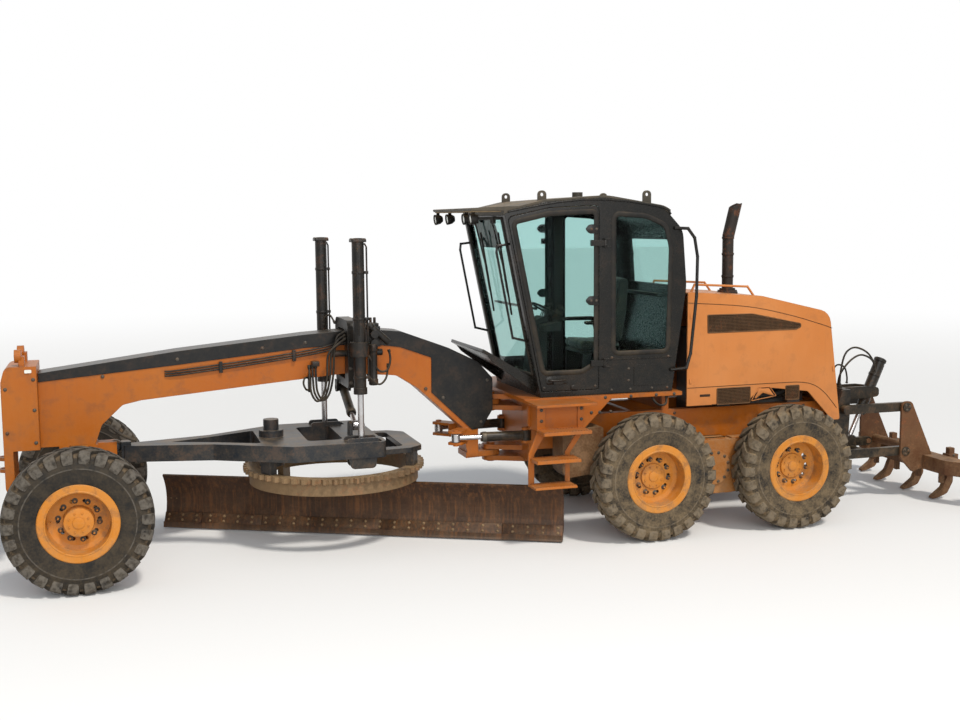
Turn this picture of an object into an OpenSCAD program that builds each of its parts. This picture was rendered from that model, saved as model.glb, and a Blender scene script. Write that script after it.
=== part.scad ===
// Motor grader with a tandem rear drive, an articulated goose-neck front frame,
// a turning circle with its blade, leaning front wheels and a rear ripper.
// Millimetres. +X is forward, +Y is the machine's left side, +Z is up, and the
// tyres stand on Z = 0. Sizes along X are counted from the middle of the tandem.

/* [Wheels] */
// Front axle to the middle of the tandem
wheelbase = 6219; // [6120:1:6320]
// Distance between the two wheels of one tandem
tandem_pitch = 1572; // [1500:1:1640]
// Middle plane of a tyre, from the middle of the machine
wheel_y = 1050; // [1040:1:1090]
// Tyre radius out to the tips of the lugs
tyre_r = 635; // [610:1:650]
// Tyre width
tyre_w = 340; // [320:1:350]
// Radius where the tyre's bead sits on the rim
bead_r = 305; // [290:1:315]

/* [Tandem] */
// Width of a tandem housing
housing_w = 190; // [150:1:200]
// Height of a tandem housing at its middle
housing_h = 560; // [500:1:600]
// Radius of a tandem housing's round ends
housing_end_r = 225; // [200:1:250]
// Inner face of a tandem housing, from the middle of the machine
housing_in_y = 650; // [640:1:660]

/* [Rear frame] */
// Articulation pin, ahead of the middle of the tandem
pivot_x = 2150; // [2130:1:2170]
// Half of the distance between the outer faces of the rear frame's rails
rail_y = 430; // [410:1:450]
// Underside of the rear frame's rails
rail_bottom = 860; // [840:1:880]
// Top of the rear frame's rails
rail_top = 1190; // [1170:1:1210]
// Radius of the articulation pins
pivot_r = 45; // [40:1:50]

/* [Cab] */
// Half width of the cab, over its walls
cab_y = 700; // [680:1:720]
// Thickness of the cab's walls, posts and doors
cab_wall = 45; // [35:1:50]
// Underside of the cab's floor
cab_floor = 1430; // [1420:1:1440]
// Underside of the cab's roof panel
cab_roof_z = 3270; // [3220:1:3300]
// Where the rear hinge post of the doors stands
door_hinge_x = 1170; // [1150:1:1190]
// Thickness of the window glass
glass_t = 8; // [6:1:12]

/* [Hood] */
// Half width of the hood at its foot
hood_y = 590; // [560:1:600]
// Thickness of the hood's moulded walls
hood_wall = 20; // [14:1:30]
// Exhaust pipe radius
exhaust_r = 60; // [50:1:70]

/* [Front frame] */
// Half width of the goose neck
neck_y = 150; // [130:1:165]
// Depth of the dark top band on the goose neck
band_h = 130; // [100:1:150]
// Half width of the push plate at the nose
nose_y = 280; // [240:1:285]

/* [Front axle] */
// Kingpin, from the middle of the machine
kingpin_y = 860; // [850:1:865]
// Height of the wheels' leaning pins
lean_z = 430; // [420:1:440]
// Height of the axle's middle pin
axle_pin_z = 760; // [750:1:780]

/* [Drawbar and circle] */
// Drawbar ball, behind the front axle
ball_back = 330; // [310:1:350]
// Height of the drawbar's ball
ball_z = 1080; // [1060:1:1100]
// Middle of the circle, behind the front axle
circle_back = 2419; // [2400:1:2440]
// Outer radius of the circle over its teeth
circle_r = 900; // [860:1:930]
// Top of the toothed ring
circle_top = 790; // [780:1:800]

/* [Blade] */
// Length of the blade
blade_l = 4200; // [4100:1:4220]
// Angle of the blade from the machine's length, seen from above
blade_turn = -27; // [-30:1:-24]
// How far the blade's middle stands off the circle's middle, along the blade
blade_shift = -189; // [-220:1:-150]
// Height of the blade
blade_h = 545; // [500:1:555]
// Thickness of the blade's plate
blade_t = 22; // [18:1:28]

/* [Ripper] */
// Length of the ripper's links between their pins
link_l = 760; // [720:1:800]
// Half length of the ripper's beam
beam_y = 1120; // [1000:1:1180]
// Spacing of the ripper's shanks
shank_pitch = 520; // [480:1:540]

/* [Cylinders] */
// Radius of a lift cylinder's barrel
barrel_r = 58; // [50:1:62]
// Radius of a lift cylinder's rod
rod_r = 30; // [25:1:34]
// Radius of an articulation cylinder's barrel
swing_barrel_r = 48; // [42:1:52]
// Running clearance around a pin
pin_gap = 0.5; // [0.3:0.1:1]
// Clearance between a piece and the piece that carries it
seat_gap = 0.3; // [0.2:0.1:0.5]

/* [Hidden] */
$fn = 48;

nose_x = wheelbase + 640;
tow_out = 65;
tow_pin_r = 18;
pocket_t = 120;
// Front face of the ripper's beam, its width, and how far its ends lie back.
beam_front = -2890;
beam_w = 220;
beam_straight_y = 780;
sweep = 200;
function sweep_at(y) = abs(y) > beam_straight_y ? -sweep * (abs(y) - beam_straight_y) / (beam_y - beam_straight_y) : 0;
tail_x = beam_front - beam_w + sweep_at(2 * shank_pitch) - pocket_t;
mid_x = (nose_x + tow_out + tail_x) / 2;
axle_x = wheelbase;
ball_x = axle_x - ball_back;
circle_x = axle_x - circle_back;
half_pitch = tandem_pitch / 2;
housing_out_y = housing_in_y + housing_w;

// A point of an arc about c, with radius r, at angle a.
function on_arc(c, r, a) = [c[0] + r * cos(a), c[1] + r * sin(a)];
// Points of an arc in n steps.
function arc(c, r, a0, a1, n) = [for (i = [0:n]) on_arc(c, r, a0 + (a1 - a0) * i / n)];
// The unit vector from a to b.
function heading(a, b) = (b - a) / norm(b - a);
// A corner of a closed outline rounded with radius r, as points.
function corner(a, b, c, r, n = 4) =
    let (u = heading(b, a), v = heading(b, c), half = acos(u * v) / 2, w = (u + v) / norm(u + v))
    let (m = b + w * r / sin(half), s = b + u * r / tan(half), e = b + v * r / tan(half))
    let (a0 = atan2(s[1] - m[1], s[0] - m[0]), raw = atan2(e[1] - m[1], e[0] - m[0]) - a0)
    let (turn = raw > 180 ? raw - 360 : raw < -180 ? raw + 360 : raw)
    r <= 0 ? [b] : arc(m, r, a0, a0 + turn, n);
// A closed outline from [x, y, corner radius] rows.
function rounded(rows, n = 4) =
    let (k = len(rows))
    [for (i = [0:k - 1])
        let (a = rows[(i + k - 1) % k], b = rows[i], c = rows[(i + 1) % k])
        each corner([a[0], a[1]], [b[0], b[1]], [c[0], c[1]], b[2], n)];

// Every piece is drawn from the tandem's middle and stored about the machine's middle.
module placed() translate([-mid_x, 0, 0]) children();
// Both sides of the machine.
module both_sides() {
    children();
    mirror([0, 1, 0]) children();
}
// The piece as it is on the left, or its mirror image on the right.
module on_side(s) mirror([0, s < 0 ? 1 : 0, 0]) children();
// A plate from an outline in X and Z, between two places along Y.
module side_plate(rows, y0, y1, n = 4)
    translate([0, y1, 0]) rotate([90, 0, 0]) linear_extrude(y1 - y0) polygon(rounded(rows, n));
// A plate from an outline in X and Y, between two heights.
module flat_plate(rows, z0, z1, n = 4)
    translate([0, 0, z0]) linear_extrude(z1 - z0) polygon(rounded(rows, n));
// A box between two corners.
module block(a, b) translate(a) cube(b - a);
// A round bar between two points.
module bar(a, b, r) {
    d = b - a;
    translate(a) rotate([0, acos(d[2] / norm(d)), atan2(d[1], d[0])]) cylinder(r = r, h = norm(d));
}
// A round pin along Y.
module cross_pin(x, z, r, y0, y1) translate([x, y1, z]) rotate([90, 0, 0]) cylinder(r = r, h = y1 - y0);

// Rear frame with its rails, hinge head and rear axle housing.
head_back = pivot_x - 330;
deck_z = cab_floor - seat_gap;
frame_back = -1600;
fork_t = 50;
lug_t = 56;
upper_lug_z = 1290;
lower_lug_z = 760;
fork_gap = 5;
axle_tube_r = 150;
hub_z = tyre_r;

module rear_frame() color("darkorange") placed() {
    both_sides() {
        side_plate([[frame_back, rail_bottom + 60, 0], [frame_back, rail_top, 0], [head_back, rail_top, 0],
            [head_back, rail_bottom, 30], [700, rail_bottom, 0], [-1500, rail_bottom, 20]],
            rail_y - 90, rail_y);
    }
    difference() {
        block([head_back, -rail_y, rail_bottom - 120], [head_back + 60, rail_y, deck_z]);
        both_sides() translate([swing_base[0], swing_base[1], swing_z - swing_barrel_r - 5])
            cylinder(r = 55, h = 2 * swing_barrel_r + 10);
    }
    block([frame_back, -rail_y, rail_bottom], [frame_back + 60, rail_y, rail_top]);
    both_sides() cross_pin(hood_hinge[0], hood_hinge[1], hood_pin_r, rail_y - 1, rail_y + 80);
    block([700, -rail_y, rail_bottom + 100], [760, rail_y, rail_top]);
    for (z = [upper_lug_z, lower_lug_z]) {
        for (zf = [z - fork_gap - fork_t, z + lug_t + fork_gap])
            difference() {
                flat_plate([[head_back + 10, -260, 0], [pivot_x - 30, -105, 40], [pivot_x + 85, -60, 50],
                    [pivot_x + 85, 60, 50], [pivot_x - 30, 105, 40], [head_back + 10, 260, 0]], zf, zf + fork_t);
                translate([pivot_x, 0, zf - 1]) cylinder(r = pivot_r, h = fork_t + 2);
            }
        translate([pivot_x, 0, z - fork_gap - fork_t - 15])
            cylinder(r = pivot_r, h = lug_t + 2 * fork_gap + 2 * fork_t + 30);
    }
    swing_base_ears();
    // Cab deck, its wheel arch plates and its feet.
    both_sides() {
        side_plate([[1075, deck_z, 0], [1400, 1110, 30], [1560, 1110, 20], [2000, 1160, 20], [2000, deck_z, 0]],
            rail_y + 290, rail_y + 330);
        block([1500, rail_y, 1180], [1560, rail_y + 290, deck_z]);
        block([head_back, rail_y, 1250], [head_back + 60, rail_y + 290, deck_z]);
    }
    block([320, -rail_y, rail_top], [400, rail_y, deck_z]);
    difference() {
        block([330, -760, 1390], [2040, 760, deck_z]);
        block([420, -380, 1380], [head_back - 60, 380, 1440]);
    }
    // Rear axle: the middle housing and its two tubes out to the tandems.
    bar([0, -(housing_in_y - seat_gap), hub_z], [0, housing_in_y - seat_gap, hub_z], axle_tube_r);
    block([-230, -230, hub_z - 190], [230, 230, rail_bottom + 60]);
    both_sides() {
        block([-170, rail_y - 90, hub_z + 60], [170, rail_y, rail_bottom]);
        bar([0, housing_in_y - 90, hub_z], [0, housing_in_y - seat_gap, hub_z], axle_tube_r + 50);
    }
}

// Engine and its transmission as one plain block, seated on the rails.
module engine() color("dimgray") placed() {
    block([-1350, -rail_y + 100, rail_top - 150], [-150, rail_y - 100, hood_top - 440]);
    both_sides() {
        block([-1250, rail_y - 120, rail_top + seat_gap], [-1100, rail_y, rail_top + 60]);
        block([-400, rail_y - 120, rail_top + seat_gap], [-250, rail_y, rail_top + 60]);
    }
}

// Cab outline from the side, at its outer faces.
cab_front_foot = 1848;
cab_front_top = 2222;
cab_rear_foot = 400;
cab_rear_mid = 264;
cab_rear_mid_z = 2500;
// Rise of the arched roof over the tops of the windscreen's posts.
arch_rise = 130;
function cab_front_x(z) = cab_front_foot + (cab_front_top - cab_front_foot) * (z - cab_floor) / (cab_roof_z - cab_floor);

module cab_side_outline()
    polygon(rounded([[cab_front_foot, cab_floor, 0], [cab_front_x(cab_roof_z - 25), cab_roof_z - 25, 20],
        [1800, cab_roof_z + arch_rise - 44, 500], [1150, cab_roof_z + arch_rise, 700], [520, cab_roof_z + 22, 250],
        [cab_rear_mid + 46, cab_roof_z - 200, 200], [cab_rear_mid, cab_rear_mid_z, 600], [cab_rear_foot + 18, cab_floor, 0]]));

door_gap = 6;
post_w = 30;
door_top = cab_roof_z - 62;
door_foot = cab_floor + 60;

// Door outline: hinged at the back, with the cab's leaning front edge.
function door_rows(e) = [
    [door_hinge_x + 60 + e, door_foot + e, 20], [cab_front_x(door_foot) - post_w - e, door_foot + e, 20],
    [cab_front_x(door_top) - post_w - e, door_top - e, 50], [1750, door_top + 88 - e, 300],
    [door_hinge_x + 60 + e, door_top + 112 - e, 60]];

module side_glass_hole(grow = 0)
    polygon(rounded([[465 - grow, 1840 - grow, 60], [door_hinge_x - 100 + grow, 1840 - grow, 60],
        [door_hinge_x - 100 + grow, cab_roof_z - 30 + grow, 60], [720, cab_roof_z - 55 + grow, 300],
        [500 - grow, cab_roof_z - 150 + grow, 120], [440 - grow, cab_roof_z - 370, 300]]));

module cab_shell() color("#33302c") placed() {
    // Side walls with the doorway and the rear side window cut out.
    both_sides() difference() {
        translate([0, cab_y, 0]) rotate([90, 0, 0]) linear_extrude(cab_wall) difference() {
            cab_side_outline();
            polygon(rounded(door_rows(-door_gap)));
            side_glass_hole();
        }
    }
    // Front wall under the windscreen, and the windscreen's frame.
    difference() {
        cab_front_frame();
        translate([0, cab_y - 100, 0]) rotate([90, 0, 0]) linear_extrude(2 * cab_y - 200)
            polygon([[cab_front_x(1650) - 100, 1650], [cab_front_x(1650) + 60, 1650],
                [cab_front_x(3200) + 60, 3200], [cab_front_x(3200) - 100, 3200]]);
    }
    // Rear wall with its window, and the roof's lining in one with it.
    difference() {
        translate([0, cab_y - cab_wall, 0]) rotate([90, 0, 0]) linear_extrude(2 * (cab_y - cab_wall)) difference() {
            cab_side_outline();
            translate([cab_wall, -lining_t]) cab_side_outline();
            polygon([[cab_front_x(cab_floor) - cab_wall, 1000], [3000, 1000], [3000, 3600], [cab_front_x(3600) - cab_wall, 3600]]);
        }
        block([0, -cab_y + 150, rear_pane[0][1]], [900, cab_y - 150, rear_pane[1][1]]);
    }
    // Floor.
    block([cab_rear_foot + 20, -cab_y + cab_wall, cab_floor], [cab_front_foot - 40, cab_y - cab_wall, cab_floor + 40]);
    door_hinge_ears();
    // Sloping cover ahead of the windscreen.
    side_plate([[1850, 1560, 0], [1850, 1600, 0], [2400, 1925, 10], [2410, 1890, 10]], -560, 560);
    both_sides() side_plate([[1830, 1440, 0], [1850, 1600, 0], [2400, 1920, 10], [2300, 1790, 60]], 530, 560);
}

module cab_front_frame()
    translate([0, cab_y - cab_wall, 0]) rotate([90, 0, 0]) linear_extrude(2 * (cab_y - cab_wall))
        intersection() {
            cab_side_outline();
            polygon([[cab_front_foot - cab_wall, cab_floor], [cab_front_foot, cab_floor],
                [cab_front_x(3600), 3600], [cab_front_x(3600) - cab_wall, 3600]]);
        }

lining_t = 36;
// The rear pane's lower and upper edge.
rear_pane = [[284, 2500], [322, 2970]];
eye_z = cab_roof_z + 160;
visor_x = 2560;
// Each pair of lifting eyes: its place, and how far its plates reach below the bore.
eye_places = [[650, 105], [1780, 66]];
// Roof panel with its visor, lifting eyes and knobs.
module cab_roof() color("#3a3733") placed() {
    translate([0, cab_y, 0]) rotate([90, 0, 0]) linear_extrude(2 * cab_y) difference() {
        polygon(rounded([[visor_x - 15, cab_roof_z + 2, 6], [visor_x, cab_roof_z + 30, 10], [2060, cab_roof_z + 48, 100],
            [1790, cab_roof_z + arch_rise - 22, 300], [1150, cab_roof_z + arch_rise + 22, 700],
            [515, cab_roof_z + 46, 250], [450, cab_roof_z + 5, 0], [450, cab_roof_z - 170, 0], [cab_front_x(cab_roof_z - 170), cab_roof_z - 170, 0],
            [cab_front_x(cab_roof_z + 2), cab_roof_z + 2, 0]]));
        translate([0, seat_gap]) cab_side_outline();
        translate([seat_gap, 0]) cab_side_outline();
    }
    for (e = eye_places, s = [1, -1]) let (x = e[0]) difference() {
        side_plate([[x - 45, eye_z - e[1], 0], [x + 45, eye_z - e[1], 0], [x + 45, eye_z + 40, 40], [x - 45, eye_z + 40, 40]],
            s * 560 - 10, s * 560 + 10);
        cross_pin(x, eye_z, 18, s * 560 - 12, s * 560 + 12);
    }
    translate([1180, 0, cab_roof_z + arch_rise]) cylinder(r = 55, h = 65);
}

// All fixed panes, each in its opening.
module cab_glass() color([0.55, 0.75, 0.78, 0.4]) placed() {
    both_sides() translate([0, cab_y - 18, 0]) rotate([90, 0, 0]) linear_extrude(glass_t)
        side_glass_hole(-seat_gap);
    translate([0, cab_y - 100 - seat_gap, 0]) rotate([90, 0, 0]) linear_extrude(2 * (cab_y - 100 - seat_gap))
        polygon([[cab_front_x(1650) - 28, 1650 + seat_gap], [cab_front_x(1650) - 28 + glass_t, 1650 + seat_gap],
            [cab_front_x(3200) - 28 + glass_t, 3200 - seat_gap], [cab_front_x(3200) - 28, 3200 - seat_gap]]);
    translate([0, cab_y - 150 - seat_gap, 0]) rotate([90, 0, 0]) linear_extrude(2 * (cab_y - 150 - seat_gap))
        polygon([rear_pane[0] + [0, seat_gap], rear_pane[0] + [glass_t, seat_gap],
            rear_pane[1] + [glass_t, -seat_gap], rear_pane[1] - [0, seat_gap]]);
}

// Seat on its pedestal, and the steering column with its console.
module seat() color("#26262a") placed() {
    block([820, -170, cab_floor + 40 + seat_gap], [1120, 170, 1800]);
    side_plate([[780, 1800, 30], [1240, 1800, 40], [1240, 1930, 50], [780, 1930, 30]], -250, 250);
    side_plate([[760, 1930, 20], [900, 1930, 20], [800, 2580, 50], [670, 2580, 50]], -240, 240);
    both_sides() block([900, 260, 2080], [1210, 320, 2130]);
    both_sides() block([840, 240, 1930], [900, 320, 2130]);
}
module console() color("#2c2c2e") placed() {
    side_plate([[1560, cab_floor + 40 + seat_gap, 0], [1760, cab_floor + 40 + seat_gap, 0], [1690, 2150, 30], [1560, 2200, 30]],
        -110, 110);
    translate([1500, 0, 2230]) rotate([0, -28, 0]) {
        rotate_extrude() polygon([[178, -10], [202, -10], [206, 0], [202, 10], [178, 10]]);
        cylinder(r = 40, h = 24, center = true);
        for (a = [10, 130, 250]) rotate([0, 0, a]) block([30, -10, -5], [190, 10, 5]);
        translate([0, 0, -130]) cylinder(r = 22, h = 130);
    }
    // Lever banks beside the wheel.
    both_sides() side_plate([[1460, 2040, 10], [1640, 2040, 10], [1640, 2110, 20], [1460, 2140, 20]], 105, 260);
}

// Fuel tank on the left behind the ladder and tool box on the right, under the cab.
module fuel_tank() color("saddlebrown") placed() both_sides()
    side_plate([[1180, 640, 40], [1560, 600, 40], [1620, 660, 40], [1620, 1100, 20], [1180, 1100, 20]],
        rail_y + seat_gap, rail_y + 285);

// Boarding ladders with three treads on each side.
step_y0 = 975;
step_y1 = 1190;
module ladders() color("darkorange") placed() both_sides() {
    side_plate([[1900, 1420, 0], [1990, 1420, 0], [1990, 1130, 20], [2080, 930, 20], [2080, 610, 0], [2020, 610, 0],
        [2020, 920, 20], [1900, 1130, 20]], step_y0, step_y0 + 12);
    side_plate([[1500, 1420, 0], [1570, 1420, 0], [1570, 1130, 20], [1700, 930, 20], [1700, 610, 0], [1650, 610, 0],
        [1650, 920, 20], [1500, 1130, 20]], step_y0, step_y0 + 12);
    side_plate([[1500, 1130, 0], [1990, 1130, 0], [1990, 1165, 12], [1500, 1165, 12]], 970, step_y1);
    side_plate([[1610, 860, 0], [2060, 860, 0], [2060, 895, 12], [1610, 895, 12]], step_y0, step_y1);
    side_plate([[1650, 612, 0], [2080, 612, 0], [2080, 636, 10], [1650, 636, 10]], step_y0, step_y1);
    // Landing at the door, carried by the cab deck.
    block([1420, 760 + seat_gap, 1395], [2040, step_y1 - 60, 1420]);
    block([1520, 760 + seat_gap, 1140], [1980, step_y0 - 0.5, 1380]);
}

// Handrails at the cab's front corners and the big loops behind the doors.
rail_y0 = cab_y - 70;
rail_hold = 14;
module rail_path(points, r) {
    for (i = [0:len(points) - 2]) bar(points[i], points[i + 1], r);
    for (p = points) translate(p) sphere(r = r + 1.5);
}
module hand_rails() color("#1d1c1b") placed() both_sides() {
    rail_path([[cab_front_x(2945) + rail_hold, rail_y0, 2945], [cab_front_x(2935) + 115, rail_y0, 2935],
        [cab_front_x(2870) + 135, rail_y0, 2870], [cab_front_x(2000) + 150, rail_y0, 2030],
        [cab_front_x(1995) + rail_hold, rail_y0, 1995]], 12);
    rail_path([[430, cab_y + 17.8, 1650], [300, cab_y + 90, 1670], [255, cab_y + 90, 1820], [196, cab_y + 90, 2400],
        [190, cab_y + 90, 2800], [225, cab_y + 90, 2990], [300, cab_y + 90, 3085], [400, cab_y + 17.8, 3090]], 16);
}

// Bracket for the ripper and hoses behind the rear frame.
link_front_x = -1900;
lower_pin_z = 545;
upper_pin_z = 1050;
link_y = 330;
link_pin_r = 30;
module ripper_mount() color("#2b2c2e") placed() {
    both_sides() difference() {
        side_plate([[frame_back - 80, 470, 20], [-1960, 470, 60], [-1985, 1000, 0], [-1985, 1270, 20], [-1885, 1270, 20],
            [-1835, 1110, 20], [-1760, 960, 20], [frame_back - 80, 950, 0]], link_y - 65, link_y - 35);
        cross_pin(link_front_x, lower_pin_z, link_pin_r, link_y - 70, link_y - 30);
        cross_pin(link_front_x, upper_pin_z, link_pin_r, link_y - 70, link_y - 30);
    }
    both_sides() for (z = [lower_pin_z, upper_pin_z])
        cross_pin(link_front_x, z, link_pin_r, link_y - 65, link_y + 40);
    block([frame_back - 100, -link_y + 34, 600], [frame_back - seat_gap, link_y - 34, 950]);
    // Trunnion block of the lifting cylinder.
    both_sides() difference() {
        side_plate([[-1986, 1130, 0], [-2330, 1130, 30], [-2480, 1150, 40], [-2480, 1250, 40], [-2330, 1270, 30], [-1986, 1270, 0]], 95, 125);
        cross_pin(trunnion[0], trunnion[1], 26, 90, 130);
    }
    block([-1990, -link_y + 36, 1110], [-1930, link_y - 36, 1270]);
}

// Hood: one moulded piece, open below, hinged at its rear lower edge.
hood_hinge = [-1595, 1000];
hood_pin_r = 15;
hood_front = 190;
hood_top = 2430;
hood_rows = [
    [hood_front, 1240, 0], [hood_front, hood_top, 20], [-670, hood_top - 60, 300], [-1500, hood_top - 255, 160],
    [-1655, 1000, 20], [-1560, 1000, 0], [-1250, 1330, 60], [-700, 1400, 40], [-500, 1240, 40]];
module hood() color("darkorange") placed() {
    difference() {
        side_plate(hood_rows, -hood_y, hood_y);
        translate([0, 0, -0.01]) side_plate([[hood_front + 50, 900, 0], [hood_front + 50, hood_top - hood_wall, 0],
            [-670, hood_top - 60 - hood_wall, 300], [-1500 + hood_wall, hood_top - 255 - hood_wall, 150],
            [-1655 + hood_wall, 1000, 0], [-1655 + hood_wall, 900, 0]], -hood_y + hood_wall, hood_y - hood_wall);
    }
    // Level pad under the exhaust.
    translate([exhaust_at[0], exhaust_at[1], exhaust_foot - 42]) cylinder(r = 100, h = 42);
    // Hinge lugs at the rear lower edge.
    both_sides() difference() {
        side_plate([[-1640, 972, 0], [-1566, 972, 25], [-1566, 1028, 25], [-1640, 1110, 0]], rail_y + 45, rail_y + 65);
        cross_pin(hood_hinge[0], hood_hinge[1], hood_pin_r + pin_gap, rail_y + 40, rail_y + 70);
    }
    // Hand rail along the top.
    both_sides() rail_path([[100, 480, hood_top - 10], [60, 480, hood_top + 70], [-560, 480, hood_top + 35], [-640, 480, hood_top - 70]], 12);
}

// Exhaust stack with its slanted tip.
exhaust_at = [-520, 120];
exhaust_foot = hood_top - 38;
module exhaust() color("#3a2f28") placed() translate([exhaust_at[0], exhaust_at[1], 0]) difference() {
    union() {
        translate([0, 0, exhaust_foot + seat_gap]) cylinder(r = 85, h = 40);
        translate([0, 0, exhaust_foot + 20]) cylinder(r = exhaust_r, h = 600);
        translate([0, 0, exhaust_foot + 593]) rotate([0, -14, 0]) cylinder(r = exhaust_r + 4, h = 380);
    }
    translate([0, 0, exhaust_foot + 60]) cylinder(r = exhaust_r - 6, h = 545);
    translate([0, 0, exhaust_foot + 598]) rotate([0, -14, 0]) cylinder(r = exhaust_r - 3, h = 420);
    translate([-90, 0, exhaust_foot + 938]) rotate([0, 24, 0]) translate([-200, -200, 0]) cube(400);
}

// Doors, each with its frame, hinges and pane.
hinge_pin_y = cab_y + 22;
hinge_heights = [1750, 2950];
module door(s) placed() on_side(s) {
    difference() {
        translate([0, cab_y, 0]) rotate([90, 0, 0]) linear_extrude(cab_wall) difference() {
            polygon(rounded(door_rows(0)));
            door_glass_outline(0);
        }
    }
    // Knuckles of the hinges around the pin, and the handle.
    for (z = hinge_heights) {
        block([door_hinge_x + 60, cab_y - 5, z - 30], [door_hinge_x + 150, hinge_pin_y + 6, z + 30]);
        difference() {
            translate([door_hinge_x, hinge_pin_y, z - 30]) cylinder(r = 20, h = 60);
            translate([door_hinge_x, hinge_pin_y, z - 31]) cylinder(r = 10 + pin_gap, h = 62);
        }
        block([door_hinge_x + 15, hinge_pin_y - 6, z - 30], [door_hinge_x + 61, hinge_pin_y + 6, z + 30]);
    }
    block([1620, cab_y - 1, 1560], [1720, cab_y + 30, 1600]);
}
module door_glass_outline(e)
    polygon(rounded([[door_hinge_x + 88 + e, 1750 + e, 20], [door_hinge_x + 245, 1670 + e, 30],
        [cab_front_x(1670) - 75 - e, 1670 + e, 60], [cab_front_x(3160) - 75 - e, 3160 - e, 50],
        [1750, 3243 - e, 300], [door_hinge_x + 88 + e, 3262 - e, 50]]));
module door_left() color("#33302c") door(1);
module door_right() color("#33302c") door(-1);
module door_pane(s) placed() on_side(s) translate([0, cab_y - 18, 0]) rotate([90, 0, 0])
    linear_extrude(glass_t) door_glass_outline(seat_gap);
module door_glass_left() color([0.55, 0.75, 0.78, 0.4]) door_pane(1);
module door_glass_right() color([0.55, 0.75, 0.78, 0.4]) door_pane(-1);

// Ears and pins of the door hinges, fixed to the cab's rear post.
module door_hinge_ears() both_sides() for (z = hinge_heights) {
    translate([door_hinge_x, hinge_pin_y, z - 45]) cylinder(r = 10, h = 90);
    for (e = [z - 45, z + 33])
        block([door_hinge_x - 60, cab_y - 10, e], [door_hinge_x + 12, hinge_pin_y + 12, e + 12]);
}

// Tandem housings: a flat case with round ends, rocking on the axle's end.
flange_r = 150;
flange_out = 60;
module tandem(s) placed() on_side(s) difference() {
    union() {
        side_plate([[-half_pitch - housing_end_r, hub_z - housing_end_r, housing_end_r - 1],
            [-half_pitch, hub_z - housing_end_r, 60], [-200, hub_z - housing_h / 2, 60], [200, hub_z - housing_h / 2, 60],
            [half_pitch, hub_z - housing_end_r, 60], [half_pitch + housing_end_r, hub_z - housing_end_r, housing_end_r - 1],
            [half_pitch + housing_end_r, hub_z + housing_end_r, housing_end_r - 1],
            [half_pitch, hub_z + housing_end_r, 60], [200, hub_z + housing_h / 2, 60],
            [-200, hub_z + housing_h / 2, 60], [-half_pitch, hub_z + housing_end_r, 60],
            [-half_pitch - housing_end_r, hub_z + housing_end_r, housing_end_r - 1]],
            housing_in_y, housing_out_y, 8);
        for (x = [-half_pitch, half_pitch]) cross_pin(x, hub_z, flange_r, housing_out_y - 1, housing_out_y + flange_out);
        cross_pin(0, hub_z, 180, housing_out_y - 1, housing_out_y + 25);
    }
}
module tandem_left() color("#b5651d") tandem(1);
module tandem_right() color("#b5651d") tandem(-1);

// Tyres: rings of points around the axle, raised at every second one on each half
// to stand for its staggered lugs.
tyre_inner_half = 140;
lug_count = 26;
lug_h = 30;
tyre_steps = 2 * lug_count;
// Half widths and radii of one ring, from the left bead over the tread to the right bead.
function tyre_ring(up) = let (a = up ? 1 : 0, b = 1 - a, r = (bead_r + seat_gap) / cos(180 / tyre_steps)) [
    [-tyre_inner_half, r], [-tyre_inner_half, bead_r + flange_h + 20], [-tyre_w / 2 - a * 2 + b * 12, tyre_r - 65],
    [-tyre_w / 2 + 40, tyre_r - b * lug_h], [0, tyre_r - lug_h / 2],
    [tyre_w / 2 - 40, tyre_r - a * lug_h], [tyre_w / 2 + b * 2 - a * 12, tyre_r - 65],
    [tyre_inner_half, bead_r + flange_h + 20], [tyre_inner_half, r]];
module tyre(x, s) color("#2a2926") placed() translate([x, s * wheel_y, hub_z]) {
    n = len(tyre_ring(true));
    polyhedron(
        points = [for (i = [0:tyre_steps - 1]) let (t = 360 * i / tyre_steps) each
            [for (p = tyre_ring(i % 2 == 0)) [p[1] * sin(t), p[0], p[1] * cos(t)]]],
        faces = [for (i = [0:tyre_steps - 1], k = [0:n - 1])
            let (a = i * n + k, b = i * n + (k + 1) % n, j = (i + 1) % tyre_steps, c = j * n + (k + 1) % n, d = j * n + k)
            each [[a, b, c], [a, c, d]]]);
}

// Rims: barrel, flanges, and a plate dished inwards by a depth, with its studs' holes.
flange_h = 40;
bolt_ring_r = 172;
module rim(x, s, plate_y, cap_out, back_y) color("#d08a2a") placed() translate([x, s * wheel_y, hub_z])
    on_side(s) rotate([-90, 0, 0]) difference() {
        union() {
            rotate_extrude($fn = 64) polygon([
                [bead_r - 22, -tyre_inner_half - 16], [bead_r + flange_h - 8, -tyre_inner_half - 16],
                [bead_r + flange_h, -tyre_inner_half - 8], [bead_r + flange_h, -tyre_inner_half - seat_gap],
                [bead_r, -tyre_inner_half - seat_gap], [bead_r, tyre_inner_half + seat_gap],
                [bead_r + flange_h, tyre_inner_half + seat_gap], [bead_r + flange_h, tyre_inner_half + 8],
                [bead_r + flange_h - 8, tyre_inner_half + 16], [bead_r - 22, tyre_inner_half + 16],
                [bead_r - 30, tyre_inner_half - 10], [bead_r - 40, plate_y + 20], [bead_r - 80, plate_y + 8],
                [130, plate_y + 8], [125, cap_out], [60, cap_out + 12], [0, cap_out + 12],
                [0, back_y], [flange_r, back_y], [flange_r, plate_y - 10], [bead_r - 60, plate_y - 10],
                [bead_r - 22, plate_y - 30]]);
        }
        for (a = [0:36:324]) rotate([0, 0, a]) translate([bolt_ring_r, 0, plate_y - 20]) cylinder(r = 17, h = 50);
    }
rear_back = housing_out_y + flange_out + seat_gap - wheel_y;
module tyre_mid_left() tyre(half_pitch, 1);
module tyre_mid_right() tyre(half_pitch, -1);
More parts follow.
